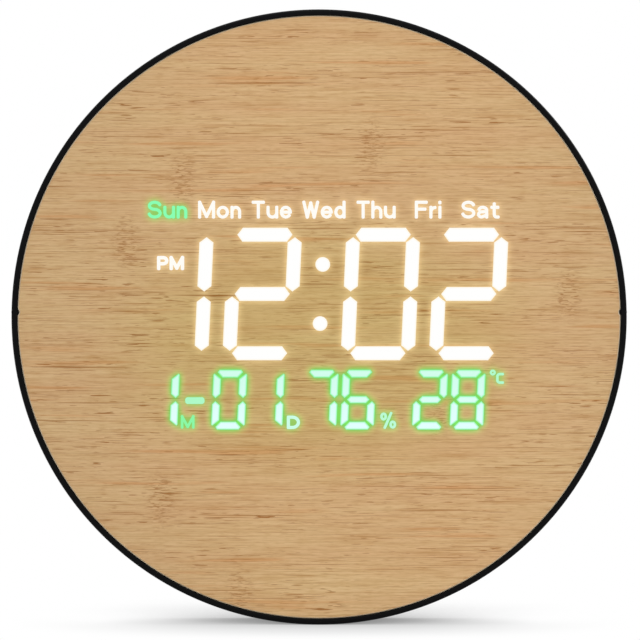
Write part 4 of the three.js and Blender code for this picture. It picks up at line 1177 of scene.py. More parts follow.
def letter_shape(letter, left, base, width, height, stroke):
    """Ribbons of one letter in its box"""
    half = stroke / 2
    ribbons = []
    for points in letter_strokes(letter):
        across, up = width - stroke, height - stroke
        placed = [(left + half + u * across, base + half + v * up) for u, v in points]
        ribbons.append(ribbon(placed, half))
    return ribbons


def word_shape(word, centre):
    """Ribbons of a weekday's letters, centred on its cell"""
    widths = [LETTER_WIDTHS[letter] * MM for letter in word]
    left = centre - (sum(widths) + LETTER_GAP * (len(word) - 1)) / 2
    letters = []
    for letter, width in zip(word, widths):
        height = WORD_CAP if letter.isupper() else WORD_X_HEIGHT
        letters.append(letter_shape(letter, left, WORD_BASE, width, height, WORD_STROKE))
        left += width + LETTER_GAP
    return letters


def lit_letter(solid, core, ribbons, level, front, back):
    """Adds a letter to a solid, as one plate in which its strokes are joined"""
    points = [point for outline in ribbons for point in outline]
    outlines = []
    start = 0
    for outline in ribbons:
        outlines.append(list(range(start, start + len(outline))))
        start += len(outline)
    flat, _, triangles, _, _, sources = delaunay_2d_cdt(points, [], outlines, 1, MERGE)
    plate = [[solid.verts.new((p.x, y, p.y)) for p in flat] for y in (back, front)]
    used = {}
    for triangle, source in zip(triangles, sources):
        if not source:
            continue
        for side in plate:
            solid.faces.new([side[v] for v in triangle])
        for i in range(3):
            line = frozenset((triangle[i - 1], triangle[i]))
            used[line] = used.get(line, 0) + 1
    for (a, b), count in used.items():
        if count == 1:
            solid.faces.new((plate[0][a], plate[0][b], plate[1][b], plate[1][a]))
    for side in plate:
        for vert in side:
            vert[core] = level
            if not vert.link_faces:
                solid.verts.remove(vert)


def pm_letters():
    """Ribbons of the afternoon mark"""
    letters = []
    left = PM_LEFT
    for letter, width in PM_WIDTHS:
        letters.append(letter_shape(letter, left, PM_BASE, width, PM_HEIGHT, PM_STROKE))
        left += width + PM_GAP
    return letters


def legend_letters():
    """Ribbons of the date's dash and of the legends beside the small digits, each with how pale it is"""
    _, places, dash = reading_places()
    lean = (LEGEND_WIDTH + LEGEND_GAP) * DIGIT_SLANT
    across, up = dash + DASH_SHIFT[0], SMALL_MIDDLE + DASH_SHIFT[1]
    half, rise = DASH_LENGTH / 2, DASH_HALF_HEIGHT
    bar = rectangle(across - half, across + half, up - rise, up + rise, DASH_CORNER)
    letters = [([[Vector(point) for point in bar]], DASH_LEVEL)]
    for letter, field, (x, z), (width, height), stroke, level in LEGENDS:
        corner = (places[field] - lean + x * MM, SMALL_BOTTOM + z * MM)
        letters.append((letter_shape(letter, *corner, width * MM, height * MM, stroke * MM), level))
    return letters


def make_lit_display(display):
    """Lit digits, words and legends, as thin plates that lie on the veneer"""
    front, back = FACE_LOW.y - display.proud, FACE_LOW.y + display.proud
    white_words = [(letter, WORD_LEVEL) for letter in pm_letters()]
    green_words = []
    for i, day in enumerate(WEEKDAYS):
        centre = DISPLAY_SHIFT + WEEKDAY_SHIFT + (i - len(WEEKDAYS) // 2) * WEEKDAY_PITCH
        words, level = (green_words, TODAY_LEVEL) if i == display.today else (white_words, WORD_LEVEL)
        words.extend((letter, level) for letter in word_shape(day, centre))
    white = lit("lit_white", (display.white_rim, display.white_rim, display.white_core))
    green = lit("lit_green", (display.green_word, display.green_rim, display.green_core), GREEN_FADE)
    plan = (
        ("lit_time", time_shapes(display.time), [], white),
        ("lit_words", [], white_words, white),
        ("lit_readings", reading_shapes(display.readings), [], green),
        ("lit_legends", [], green_words + legend_letters(), green),
    )
    for name, bars, letters, finish in plan:
        solid = bmesh.new()
        core = solid.verts.layers.float.new("core")
        for outline in bars:
            lit_bar(solid, core, outline, display.rim, front, back)
        for ribbons, level in letters:
            lit_letter(solid, core, ribbons, level, front, back)
        place_piece(name, mesh_of(name, solid, smooth=False), finish, "case")


# Rear cover

COVER_THICKNESS = 3 * MM
COVER_EDGE = 0.8 * MM
POST_DIAMETER = 7 * MM
KEYHOLE_ENTRY = (87 * MM, 9 * MM)
KEYHOLE_SLOT = (96 * MM, 5 * MM)
VENT_MIDDLE = (60 * MM, 20 * MM)
VENT_COUNT = 5
VENT_LENGTH = 22 * MM
VENT_WIDTH = 2 * MM
VENT_PITCH = 5 * MM
KEY_DIAMETER = 8 * MM
KEY_RECESS_DEPTH = 3 * MM
KEY_RECESS_MARGIN = 5 * MM
PLUG_WIDTH = 16 * MM
PLUG_TOP = -28 * MM
PLUG_LENGTH = 34 * MM
HINGE_PIN_DIAMETER = 1.4 * MM
HINGE_PIN_REACH = 1.6 * MM
HEAD_HEIGHT = 1.6 * MM
DOOR_SCREW_HOLE = 1.5 * MM
CELL_PLAY = 0.5 * MM
CONTACT_ROOM = 0.45 * MM

# Battery door: its sides between the hinge pins, its thickness and its hinge
DOOR_LEFT, DOOR_RIGHT = DOOR_LOW.x + HINGE_PIN_REACH, DOOR_HIGH.x - HINGE_PIN_REACH
DOOR_THICKNESS = DOOR_HIGH.y - DOOR_LOW.y
HINGE_Y = (DOOR_LOW.y + DOOR_HIGH.y) / 2
HINGE_Z = DOOR_HIGH.z - DOOR_THICKNESS / 2

# Place of shapes that are turned about the power socket's axis
SOCKET_AXIS = Matrix.Translation((0, (SOCKET_LOW.y + SOCKET_HIGH.y) / 2, 0)) @ Matrix.Rotation(
    math.pi / 2, 4, "X")

# Texture of the cover and its door
TEXTURED = {"pits": 2100.0, "depth": 0.05 * MM, "specular": 0.25, "mottle": 0.05}


def key_recess():
    """Bounds of the recess that holds the three keys"""
    spots = [middle(f"{name}_key") for name in KEY_NAMES]
    around = KEY_DIAMETER / 2 + KEY_RECESS_MARGIN
    xs, zs = [s.x for s in spots], [s.z for s in spots]
    return (min(xs) - around, max(xs) + around, min(zs) - around, max(zs) + around)


def widened(bounds, grow):
    """Bounds moved outwards all round"""
    return (bounds[0] - grow, bounds[1] + grow, bounds[2] - grow, bounds[3] + grow)


def walled(bounds, y_front, y_back):
    """Block that gives a recess its walls and floor"""
    x_min, x_max, z_min, z_max = widened(bounds, POCKET_WALL)
    return block(x_min, x_max, y_front, y_back, z_min, z_max)


def cover_additions(inside, keys, plug, door, well, floors):
    """Posts, walls and pockets on the cover's inner side"""
    x, z, radius = well
    half = CHANNEL_WIDTH / 2 + POCKET_WALL
    rim = -math.sqrt(COVER_HIGH.z ** 2 - half ** 2) + OVERCUT
    pin = HINGE_PIN_REACH + FIT
    hinge = (door[0] - pin, door[1] + pin, HINGE_Z - HINGE_PIN_DIAMETER / 2 - FIT, door[3])
    added = [
        walled(keys, floors["keys"] - POCKET_WALL, inside),
        walled(plug, floors["plug"] - POCKET_WALL, inside),
        walled(door, floors["door"] - POCKET_WALL, inside),
        walled(hinge, floors["door"] - POCKET_WALL, inside),
        block(-half, half, -CHANNEL_DEPTH - POCKET_WALL, inside, rim, plug[2]),
        drum(x, z, radius + POCKET_WALL, floors["well"] - POCKET_WALL, inside),
    ]
    for node in BOARD_SCREWS:
        spot = middle(node)
        added.append(drum(spot.x, spot.z, POST_DIAMETER / 2, COVER_LOW.y, inside))
    return added


def cover_cuts(rear, keys, plug, door, well, floors):
    """Recesses, holes and slots of the cover, open to the back"""
    edge, corner = rear.edge, rear.corner
    x, z, radius = well
    half = CHANNEL_WIDTH / 2
    pin = HINGE_PIN_DIAMETER / 2 + FIT
    pin_half = (door[1] - door[0]) / 2 + HINGE_PIN_REACH + FIT
    cuts = [
        pocket(keys, floors["keys"], edge, corner),
        pocket(plug, floors["plug"], edge, corner),
        pocket((-half, half, -COVER_HIGH.z - OVERCUT, plug[2] + OVERCUT), -CHANNEL_DEPTH, edge, FIT),
        pocket(widened(door, FIT), floors["door"], FIT, FIT),
        block(x - pin_half, x + pin_half, HINGE_Y - pin, OVERCUT, HINGE_Z - pin, HINGE_Z + pin),
        drum(x, z, radius, floors["well"], OVERCUT),
    ]
    for name in KEY_NAMES:
        spot = middle(f"{name}_key")
        mouth = floors["keys"]
        cuts.append(bore(spot.x, spot.z, KEY_DIAMETER / 2 + FIT, mouth - POCKET_WALL - OVERCUT, FIT, mouth))
    (entry, entry_size), (slot, slot_size) = KEYHOLE_ENTRY, KEYHOLE_SLOT
    through = -COVER_THICKNESS - OVERCUT
    cuts.append(bore(0, entry, entry_size / 2, through, edge))
    slot_bounds = (-slot_size / 2, slot_size / 2, entry, slot + slot_size / 2)
    cuts.append(pocket(slot_bounds, through, edge, slot_size / 2 - MERGE))
    across, up = VENT_MIDDLE
    for side in (-1, 1):
        for i in range(VENT_COUNT):
            rise = up + (i - (VENT_COUNT - 1) / 2) * VENT_PITCH
            vent = (side * across - VENT_LENGTH / 2, side * across + VENT_LENGTH / 2,
                    rise - VENT_WIDTH / 2, rise + VENT_WIDTH / 2)
            cuts.append(pocket(vent, through, edge, VENT_WIDTH / 2 - MERGE))
    for node in CASE_SCREWS:
        (low, high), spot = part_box(node), middle(node)
        cuts.append(drum(spot.x, spot.z, SCREW_SHANK / 2 + FIT, through, OVERCUT))
        head = (high.z - low.z) / 2 + FIT
        cuts.append(bore(spot.x, spot.z, head, high.y - HEAD_HEIGHT - SEAT, edge))
    screw = middle("battery_door_screw")
    cuts.append(drum(screw.x, screw.z, DOOR_SCREW_HOLE, floors["door"] - POCKET_WALL - OVERCUT, 0))
    return cuts


def make_rear_cover(rear):
    """Rear cover with its recesses, keyhole, vents, screw holes and inner walls"""
    inside = -COVER_THICKNESS + COVER_EDGE
    keys = key_recess()
    plug = (-PLUG_WIDTH / 2, PLUG_WIDTH / 2, PLUG_TOP - PLUG_LENGTH, PLUG_TOP)
    door = (DOOR_LEFT, DOOR_RIGHT, DOOR_LOW.z, DOOR_HIGH.z)
    spot = middle("coin_cell")
    well = (spot.x, spot.z, (CELL_HIGH.x - CELL_LOW.x) / 2 + CELL_PLAY)
    floors = {
        "keys": -KEY_RECESS_DEPTH,
        "plug": NUT_LOW.y - FIT,
        "door": DOOR_LOW.y - SEAT,
        "well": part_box("negative_contact")[1].y - CONTACT_ROOM,
    }
    radius = COVER_HIGH.z
    flat = radius - LEDGE_WIDTH
    corners = [(flat, -COVER_THICKNESS), (radius, -COVER_THICKNESS), (radius, 0), (flat, 0)]
    profile = rounded(corners, [0, 0, COVER_EDGE, 0])
    changes = [("UNION", solid) for solid in cover_additions(inside, keys, plug, door, well, floors)]
    changes += [("DIFFERENCE", solid) for solid in cover_cuts(rear, keys, plug, door, well, floors)]
    hole, top = BARREL_RADIUS + FIT, PLUG_TOP + POCKET_WALL + OVERCUT
    changes.append(("DIFFERENCE", lathe([(hole, PLUG_TOP - OVERCUT), (hole, top)], place=SOCKET_AXIS)))
    mesh = carved("rear_shell", lathe(profile, RIM_STEPS), changes)
    finish = plastic("textured_black", rear.black, roughness=0.58, **TEXTURED)
    place_piece("rear_shell", mesh, finish, "case", ["rear_cover"])


# Screws

SCREW_TURN_SEED = 4

# Screw: its dome's start and end in degrees and its steps, its tip's narrowing and length, and its cross
# recess: wing and width in head diameters, foot in shares of the mouth, floor in heights of the head
SCREW_DOME = (22, 62, 5)
SCREW_TIP = (0.3 * MM, 0.4 * MM)
CROSS_WING, CROSS_WIDTH = 0.3, 0.065
CROSS_FOOT = (0.55, 0.7)
CROSS_FLOOR = 0.35


def screw_mesh(name, head, height, shank, run):
    """Pan-head screw along Y with a cross recess, the underside of its head at the origin"""
    radius = shank / 2
    narrowing, tip = SCREW_TIP
    dome = arc((0.0, 0.0), (head / 2, height), *SCREW_DOME)
    scale = height / dome[-1][1]
    profile = [(radius - narrowing, -run), (radius, -run + tip), (radius, 0), (head / 2, 0)]
    profile += [(x, y * scale) for x, y in dome]
    wing, slot = head * CROSS_WING, head * CROSS_WIDTH
    foot_across, foot_along = CROSS_FOOT
    cross = []
    for across, along in ((wing, slot), (slot, wing)):
        outer = rectangle(-across, across, -along, along)
        foot = [(x * foot_across, z * foot_along) for x, z in outer]
        cross.append(("DIFFERENCE", loft([(height * CROSS_FLOOR, foot), (height + OVERCUT, outer)])))
    return carved(name, lathe(profile), cross)


def screw_field_tree():
    """Node tree that sets a screw on each point, turned by a fixed seed"""
    tree, enter = node_tree("screw_field", {
        "Geometry": "Geometry", "Screw": "Object", "Finish": "Material", "Turn": "Float", "Seed": "Int"})
    shape = add_node(tree, "GeometryNodeObjectInfo", {"Object": enter["Screw"]})
    turn = add_node(tree, "FunctionNodeRandomValue", {
        "Max": enter["Turn"], "Seed": enter["Seed"]}, data_type="FLOAT")
    turned = add_node(tree, "ShaderNodeCombineXYZ", {"Y": turn.outputs[1]})
    copies = add_node(tree, "GeometryNodeInstanceOnPoints", {
        "Points": enter["Geometry"], "Instance": shape.outputs["Geometry"], "Rotation": turned.outputs[0]})
    return end_tree(tree, copies.outputs[0], enter["Finish"])


def make_case_screws(rear):
    """Six screws that hold the rear cover to the ring"""
    low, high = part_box(CASE_SCREWS[0])
    seat = high.y - HEAD_HEIGHT
    shape = screw_mesh("case_screw", high.z - low.z, HEAD_HEIGHT, SCREW_SHANK, seat - low.y)
    sample = helper("case_screw_sample", shape)
    points = bpy.data.meshes.new("case_screw_places")
    points.from_pydata([(middle(node).x, seat, middle(node).z) for node in CASE_SCREWS], [], [])
    finish = metal("black_oxide", rear.oxide, roughness=0.42)
    values = {"Screw": sample, "Finish": finish, "Turn": 2 * math.pi, "Seed": SCREW_TURN_SEED}
    mesh = grown(helper("case_screw_places", points), screw_field_tree(), values, "cover_screws")
    bpy.data.objects.remove(sample)
    soften(mesh)
    place_piece("cover_screws", mesh, finish, "case", CASE_SCREWS)


# Keys

KEY_FLANGE = 1.4 * MM
KEY_FLANGE_THICKNESS = 1.2 * MM
KEY_STEM_DIAMETER = 5 * MM
KEY_DISH = 0.25 * MM
MARK_HEIGHT = 0.12 * MM
MARK_SIZE = 1.5 * MM
MARK_INNER = 0.6 * MARK_SIZE
MARK_CORNER = 0.25 * MM

# Rounds of a key cap in edges of the rear: its rim, how far in the dish starts, and the dish's lip
CAP_RIM, DISH_START, DISH_LIP = 1.6, 3, 0.5


def key_profile(rear, low, high):
    """Half section of a key cap: stem, flange, round-edged cap and dished top"""
    radius, stem, edge = KEY_DIAMETER / 2, KEY_STEM_DIAMETER / 2, rear.edge
    flange = radius + KEY_FLANGE
    flange_back = -KEY_RECESS_DEPTH - POCKET_WALL - FIT
    flange_front = flange_back - KEY_FLANGE_THICKNESS
    corners = [
        (stem / 2, low.y), (stem, low.y), (stem, flange_front), (flange, flange_front),
        (flange, flange_back), (radius, flange_back), (radius, high.y),
        (radius - DISH_START * edge, high.y), (radius / 4, high.y - KEY_DISH),
    ]
    return rounded(corners, [0, FIT, 0, FIT, FIT, 0, CAP_RIM * edge, DISH_LIP * edge, 0])


def key_mark(name, spot, top):
    """Raised mark on a key: a ring to set, an arrow head to go up or down"""
    bottom = top - MARK_HEIGHT
    if name == "set":
        ring = [(MARK_SIZE, bottom), (MARK_SIZE, top), (MARK_INNER, top), (MARK_INNER, bottom)]
        return lathe(ring, closed=True, place=standing(spot))
    up = 1 if name == "up" else -1
    foot = spot.z - up * MARK_INNER
    corners = [(spot.x - MARK_SIZE, foot), (spot.x + MARK_SIZE, foot), (spot.x, spot.z + up * MARK_SIZE)]
    arrow = rounded(corners, [MARK_CORNER] * 3)
    return loft([(bottom, arrow), (top, arrow)])


def make_keys(rear):
    """Three key caps with their raised marks, each on its own button"""
    grey = plastic("key_grey", rear.key_grey, roughness=0.5, pits=FINE_SPARK)
    paint = plastic("mark_white", srgb(232, 232, 228), roughness=0.6, pits=FINE_SPARK)
    for name in KEY_NAMES:
        low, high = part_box(f"{name}_key")
        spot = middle(f"{name}_key")
        body = f"{name}_button"
        cap = lathe(key_profile(rear, low, high), place=standing(spot))
        place_piece(f"{name}_cap", mesh_of(f"{name}_cap", cap), grey, body, [f"{name}_key"])
        mark = key_mark(name, spot, high.y - KEY_DISH + MARK_HEIGHT)
        place_piece(f"{name}_mark", mesh_of(f"{name}_mark", mark), paint, body)


# Power inlet

BARREL_RADIUS = 3 * MM
SOCKET_BORE = 3.6 * MM
SOCKET_BORE_DEPTH = 9 * MM
SOCKET_PIN = 1.3 * MM
SOCKET_TAB = 2 * MM
TAB_HALF_WIDTH = 0.7 * MM
TAB_SPREAD = 2.5 * MM
NUT_BEVEL = 0.3 * MM
NUT_SIDES = 6


def make_power_inlet(rear):
    """Socket with its barrel, bore and centre pin, and the nut that holds it"""
    mouth = SOCKET_LOW.z
    floor = mouth + SOCKET_BORE_DEPTH
    seat = PLUG_TOP + POCKET_WALL + SEAT
    top = SOCKET_HIGH.z - SOCKET_TAB
    body = (SOCKET_HIGH.x - SOCKET_LOW.x) / 2
    edge, pin, hollow = rear.edge, SOCKET_PIN / 2, SOCKET_BORE / 2
    corners = [
        (pin / 2, mouth + SEAT), (pin, mouth + SEAT), (pin, floor), (hollow, floor), (hollow, mouth),
        (BARREL_RADIUS, mouth), (BARREL_RADIUS, seat), (body, seat), (body, top), (pin / 2, top),
    ]
    profile = rounded(corners, [0, FIT, 0, 0, edge, edge, 0, FIT, edge, 0])
    tabs = []
    for x in (-TAB_SPREAD, TAB_SPREAD):
        outline = rectangle(x - TAB_HALF_WIDTH, x + TAB_HALF_WIDTH, -TAB_HALF_WIDTH, TAB_HALF_WIDTH)
        tabs.append(("UNION", loft([(top - OVERCUT, outline), (SOCKET_HIGH.z, outline)], SOCKET_AXIS)))
    mesh = carved("inlet_socket", lathe(profile, place=SOCKET_AXIS), tabs)
    black = plastic("socket_black", srgb(24, 24, 26), roughness=0.4)
    place_piece("inlet_socket", mesh, black, "case", ["power_socket"])

    low, high = NUT_LOW.z, NUT_HIGH.z
    flats = (NUT_HIGH.y - NUT_LOW.y) / 2
    hexagon = circle((0.0, 0.0), flats, NUT_SIDES, start=90)
    inset = [(x * (1 - NUT_BEVEL / flats), z * (1 - NUT_BEVEL / flats)) for x, z in hexagon]
    sections = [(low, inset), (low + NUT_BEVEL, hexagon), (high - NUT_BEVEL, hexagon), (high, inset)]
    hole = BARREL_RADIUS + FIT
    through = lathe([(hole, low - OVERCUT), (hole, high + OVERCUT)], place=SOCKET_AXIS)
    mesh = carved("inlet_nut", loft(sections, SOCKET_AXIS), [("DIFFERENCE", through)])
    plate = metal("nut_plate", rear.steel, roughness=0.32)
    place_piece("inlet_nut", mesh, plate, "case", ["socket_nut"])


# Backup cell and its door

DOOR_SCREW_HEAD = 4.2 * MM
DOOR_SCREW_SHANK = 2 * MM
DOOR_SCREW_HEIGHT = 1 * MM
GRIP_COUNT = 5
GRIP_PITCH = 1.5 * MM
GRIP_LENGTH = 14 * MM
GRIP_WIDTH = 0.7 * MM
GRIP_CORNER = 0.1 * MM
DOOR_SCREW_SINK = 0.2 * MM
DOOR_EDGE = 0.25 * MM
DOOR_CORNER = 0.3 * MM
SCREW_HOLE_EDGE = 0.15 * MM

# Sections of a grip rib: height over the door, and how far its edge has come in
GRIP_SECTIONS = ((-SEAT, 0.0), (0.06 * MM, 0.0), (0.15 * MM, 0.15 * MM))

# Cell: the cap's and the gasket's shares of its radius, their heights, and the rounds of its corners
CELL_CAP, CELL_GASKET = 0.86, 0.9
GASKET_HEIGHT, CAN_HEIGHT = 0.5 * MM, 0.7 * MM
CELL_ROUNDS = (0.0, 0.2 * MM, 0.1 * MM, 0.3 * MM, 0.45 * MM, 0.0)


def grip_tree():
    """Node tree that repeats a rib along Z"""
    tree, enter = node_tree("door_grip", {
        "Geometry": "Geometry", "Finish": "Material", "Count": "Int", "Pitch": "Float"})
    step = add_node(tree, "ShaderNodeCombineXYZ", {"Z": enter["Pitch"]})
    row = add_node(tree, "GeometryNodeMeshLine", {
        "Count": enter["Count"], "Start Location": (0.0, 0.0, 0.0), "Offset": step.outputs[0]})
    copies = add_node(tree, "GeometryNodeInstanceOnPoints", {
        "Points": row.outputs[0], "Instance": enter["Geometry"]})
    return end_tree(tree, copies.outputs[0], enter["Finish"])


def make_cell_door(rear, screw, seat):
    """Battery door with its hinge pins and grip"""
    front, back = DOOR_LOW.y, DOOR_HIGH.y
    centre, half = (DOOR_LEFT + DOOR_RIGHT) / 2, (DOOR_RIGHT - DOOR_LEFT) / 2
    sections = []
    for y, inset in ((front, 0), (back - DOOR_EDGE, 0), (back, DOOR_EDGE)):
        bounds = (DOOR_LEFT + inset, DOOR_RIGHT - inset, DOOR_LOW.z + inset, HINGE_Z)
        sections.append((y, rectangle(*bounds, DOOR_CORNER)))
    along_x = Matrix.Translation((centre, HINGE_Y, HINGE_Z)) @ Matrix.Rotation(-math.pi / 2, 4, "Z")
    knuckle, pin, reach = DOOR_THICKNESS / 2, HINGE_PIN_DIAMETER / 2, half + HINGE_PIN_REACH
    pins = [(pin - FIT, -reach), (pin, FIT - reach), (pin, reach - FIT), (pin - FIT, reach)]
    shank, head = DOOR_SCREW_SHANK / 2 + FIT, DOOR_SCREW_HEAD / 2 + FIT
    changes = [
        ("UNION", lathe([(knuckle, -half), (knuckle, half)], place=along_x)),
        ("UNION", lathe(pins, place=along_x)),
        ("DIFFERENCE", drum(screw.x, screw.z, shank, front - OVERCUT, back + OVERCUT)),
        ("DIFFERENCE", bore(screw.x, screw.z, head, seat - SEAT, SCREW_HOLE_EDGE, back)),
    ]
    finish = plastic("door_black", rear.black, roughness=0.55, **TEXTURED)
    mesh = carved("cell_door", loft(sections), changes)
    place_piece("cell_door", mesh, finish, "door", ["battery_door"])

    low = (CELL_LOW.z + CELL_HIGH.z) / 2 - GRIP_PITCH * (GRIP_COUNT - 1) / 2
    rib = []
    for rise, inset in GRIP_SECTIONS:
        across, up = GRIP_LENGTH / 2 - inset, GRIP_WIDTH / 2 - inset
        bounds = (centre - across, centre + across, low - up, low + up)
        rib.append((back + rise, rectangle(*bounds, GRIP_CORNER)))
    values = {"Finish": finish, "Count": GRIP_COUNT, "Pitch": GRIP_PITCH}
    mesh = grown(helper("grip_rib", mesh_of("grip_rib", loft(rib))), grip_tree(), values, "door_grip")
    soften(mesh)
    place_piece("door_grip", mesh, finish, "door")


def make_battery_parts(rear):
    """Battery door with its screw, and the coin cell behind it"""
    screw = middle("battery_door_screw")
    seat = DOOR_HIGH.y - DOOR_SCREW_SINK - DOOR_SCREW_HEIGHT
    make_cell_door(rear, screw, seat)
    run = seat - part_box("battery_door_screw")[0].y
    mesh = screw_mesh("door_screw", DOOR_SCREW_HEAD, DOOR_SCREW_HEIGHT, DOOR_SCREW_SHANK, run)
    mesh.transform(Matrix.Translation((screw.x, seat, screw.z)))
    oxide = metal("door_screw_oxide", rear.oxide, roughness=0.42)
    place_piece("door_screw", mesh, oxide, "door", ["battery_door_screw"])

    radius = (CELL_HIGH.x - CELL_LOW.x) / 2
    low, high = CELL_LOW.y, CELL_HIGH.y
    corners = [
        (radius / 4, low), (radius * CELL_CAP, low), (radius * CELL_GASKET, low + GASKET_HEIGHT),
        (radius, low + CAN_HEIGHT), (radius, high), (radius / 4, high),
    ]
    cell = lathe(rounded(corners, CELL_ROUNDS), 2 * BORE_STEPS, place=standing(middle("coin_cell")))
    steel = metal("cell_steel", rear.steel, roughness=0.3)
    place_piece("backup_cell", mesh_of("backup_cell", cell), steel, "case", ["coin_cell"])


# Finishes of the nodes that keep their own shape


def make_inner_finishes(rear):
    """Finishes of the pieces inside the case, which keep the frame's shapes"""
    opal = plastic("opal_panel", srgb(240, 240, 234), roughness=0.45, pits=1200.0, depth=0.01 * MM)
    white = plastic("reflector_white", srgb(244, 244, 240), roughness=0.5)
    finishes = {
        opal: ["face_panel", "diffuser_film"],
        plastic("tape", srgb(216, 210, 196), roughness=0.85, pits=900.0): ["panel_adhesive"],
        white: ["reflector_frame", "climate_sensor"],
        circuit_board("solder_mask"): ["display_board"],
        plastic("moulded_black", srgb(27, 27, 29), roughness=0.6): [
            "controller_chip", "driver_chip", *[f"{name}_switch_body" for name in KEY_NAMES]],
        plastic("plunger_grey", rear.key_grey, roughness=0.5): [
            f"{name}_switch_plunger" for name in KEY_NAMES],
        metal("plated_steel", rear.steel, roughness=0.34): [
            "clock_crystal", "buffer_capacitor", "negative_contact", "positive_contact", *BOARD_SCREWS,
            *REFLECTOR_SCREWS],
        plastic("lead_red", srgb(168, 36, 32), roughness=0.55): ["power_lead_positive"],
        plastic("lead_black", srgb(24, 24, 26), roughness=0.55): ["power_lead_negative"],
    }
    for finish, nodes in finishes.items():
        for node in nodes:
            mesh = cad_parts[node].data
            mesh.materials.clear()
            mesh.materials.append(finish)


# Stage

PICTURE = 640
SENSOR = 36.0
FLOOR_SIZE = 8.0
KEY_PLACE, KEY_SIZE = (0.06, -0.3, 1.4), 2.4
RIM_PLACE, RIM_SIZE = (0.9, 0.3, 0.7), 0.5
SHADOW_REACH = 0.5
FLOOR_TONES = (0.79, 0.81)
FLOOR_CLOUD = 3.0

# Shades on the floor: which way each looks for the object, how far, the span of open air, and its depth
FLOOR_SHADES = (
    ((0.0, -2.0, 1.0), 0.12, (0.0, 0.8), 0.75), ((0.0, 0.0, 1.0), 0.03, (0.0, 1.0), 0.3),
    ((0.0, 1.0, 0.5), 0.055, (0.3, 1.0), 0.26),
)


def seen_directly(tree):
    """Factor of rays that come from the camera, a reflection or clear material"""
    path = add_node(tree, "ShaderNodeLightPath").outputs
    seen = calculate(tree, "MAXIMUM", path["Is Camera Ray"], path["Is Glossy Ray"])
    return calculate(tree, "MAXIMUM", seen, path["Is Transmission Ray"])


def floor_material():
    """White floor that keeps the shadow of what stands on it"""
    material, tree, place = new_material("floor_white")
    cloud = stretch(tree, grain(tree, place, (FLOOR_CLOUD,) * 3), *MIDDLE_SPAN, *FLOOR_TONES)
    tone = add_node(tree, "ShaderNodeCombineColor", {0: cloud, 1: cloud, 2: cloud}).outputs[0]
    flat = add_node(tree, "ShaderNodeMapping", {"Vector": place, "Scale": (1.0, 1.0, 0.0)}).outputs[0]
    away = add_node(tree, "ShaderNodeVectorMath", {0: flat}, operation="LENGTH").outputs["Value"]
    plain = add_node(tree, "ShaderNodeBsdfDiffuse", {"Color": tone}).outputs[0]
    level = 1.0
    for toward, reach, (low, high), depth in FLOOR_SHADES:
        lean = add_node(tree, "ShaderNodeVectorMath", {0: toward}, operation="NORMALIZE").outputs["Vector"]
        air = add_node(tree, "ShaderNodeAmbientOcclusion", {"Distance": reach, "Normal": lean})
        open_air = stretch(tree, air.outputs["AO"], low, high, 1 - depth, 1.0)
        level = calculate(tree, "MULTIPLY", open_air, level)
    near = add_node(tree, "ShaderNodeEmission", {"Color": WHITE, "Strength": level}).outputs[0]
    far = add_node(tree, "ShaderNodeEmission", {"Color": WHITE, "Strength": 1.0}).outputs[0]
    beyond = stretch(tree, away, SHADOW_REACH / 2, SHADOW_REACH)
    shown = add_node(tree, "ShaderNodeMixShader", {0: beyond, 1: near, 2: far}).outputs[0]
    mixed = add_node(tree, "ShaderNodeMixShader", {0: seen_directly(tree), 1: plain, 2: shown}).outputs[0]
    add_node(tree, "ShaderNodeOutputMaterial", {"Surface": mixed})
    return material


def make_stage(stage):
    """White floor, even light, two soft lamps and the camera"""
    scene = bpy.context.scene
    scene.view_settings.view_transform = "Standard"

    half = FLOOR_SIZE / 2
    corners = [(x, y, CASE_LOW.z) for x, y in ((-half, -half), (half, -half), (half, half), (-half, half))]
    sheet = bpy.data.meshes.new("floor")
    sheet.from_pydata(corners, [], [(0, 1, 2, 3)])
    sheet.materials.append(floor_material())
    floor = bpy.data.objects.new("floor", sheet)
    scene.collection.objects.link(floor)

    world = bpy.data.worlds.new("white_room")
    world.use_nodes = True
    tree = world.node_tree
    tree.nodes.clear()
    even = add_node(tree, "ShaderNodeBackground", {"Color": WHITE, "Strength": stage.ambient}).outputs[0]
    seen = add_node(tree, "ShaderNodeBackground", {"Color": WHITE, "Strength": 1.0}).outputs[0]
    mixed = add_node(tree, "ShaderNodeMixShader", {0: seen_directly(tree), 1: even, 2: seen}).outputs[0]
    add_node(tree, "ShaderNodeOutputWorld", {"Surface": mixed})
    scene.world = world

    for name, place, across, power in (
            ("key_lamp", KEY_PLACE, KEY_SIZE, stage.key), ("rim_lamp", RIM_PLACE, RIM_SIZE, stage.rim)):
        lamp = bpy.data.lights.new(name, "AREA")
        lamp.shape = "DISK"
        lamp.size = across
        lamp.energy = power
        holder = bpy.data.objects.new(name, lamp)
        holder.location = place
        holder.rotation_euler = (-Vector(place)).to_track_quat("-Z", "Y").to_euler()
        scene.collection.objects.link(holder)

    size = CASE_HIGH.x / stage.lip_pixels
    lens = bpy.data.cameras.new("camera")
    lens.sensor_width = SENSOR
    lens.lens = SENSOR * stage.distance / (PICTURE * size)
    camera = bpy.data.objects.new("camera", lens)
    camera.location = ((PICTURE / 2 - stage.lip_x) * size, CASE_LOW.y - stage.distance,
                       (stage.lip_y - PICTURE / 2) * size)
    camera.rotation_euler = (math.pi / 2, 0, 0)
    scene.collection.objects.link(camera)
    scene.camera = camera


# Operators and panel


class CLOCK_OT_case_ring(bpy.types.Operator):
    """Make the black ring with its lip, bosses and locating keys"""

    bl_idname = "clock.case_ring"
    bl_label = "Case ring"

    def execute(self, context):
        make_case_ring(context.scene.clock_case)
        return {"FINISHED"}


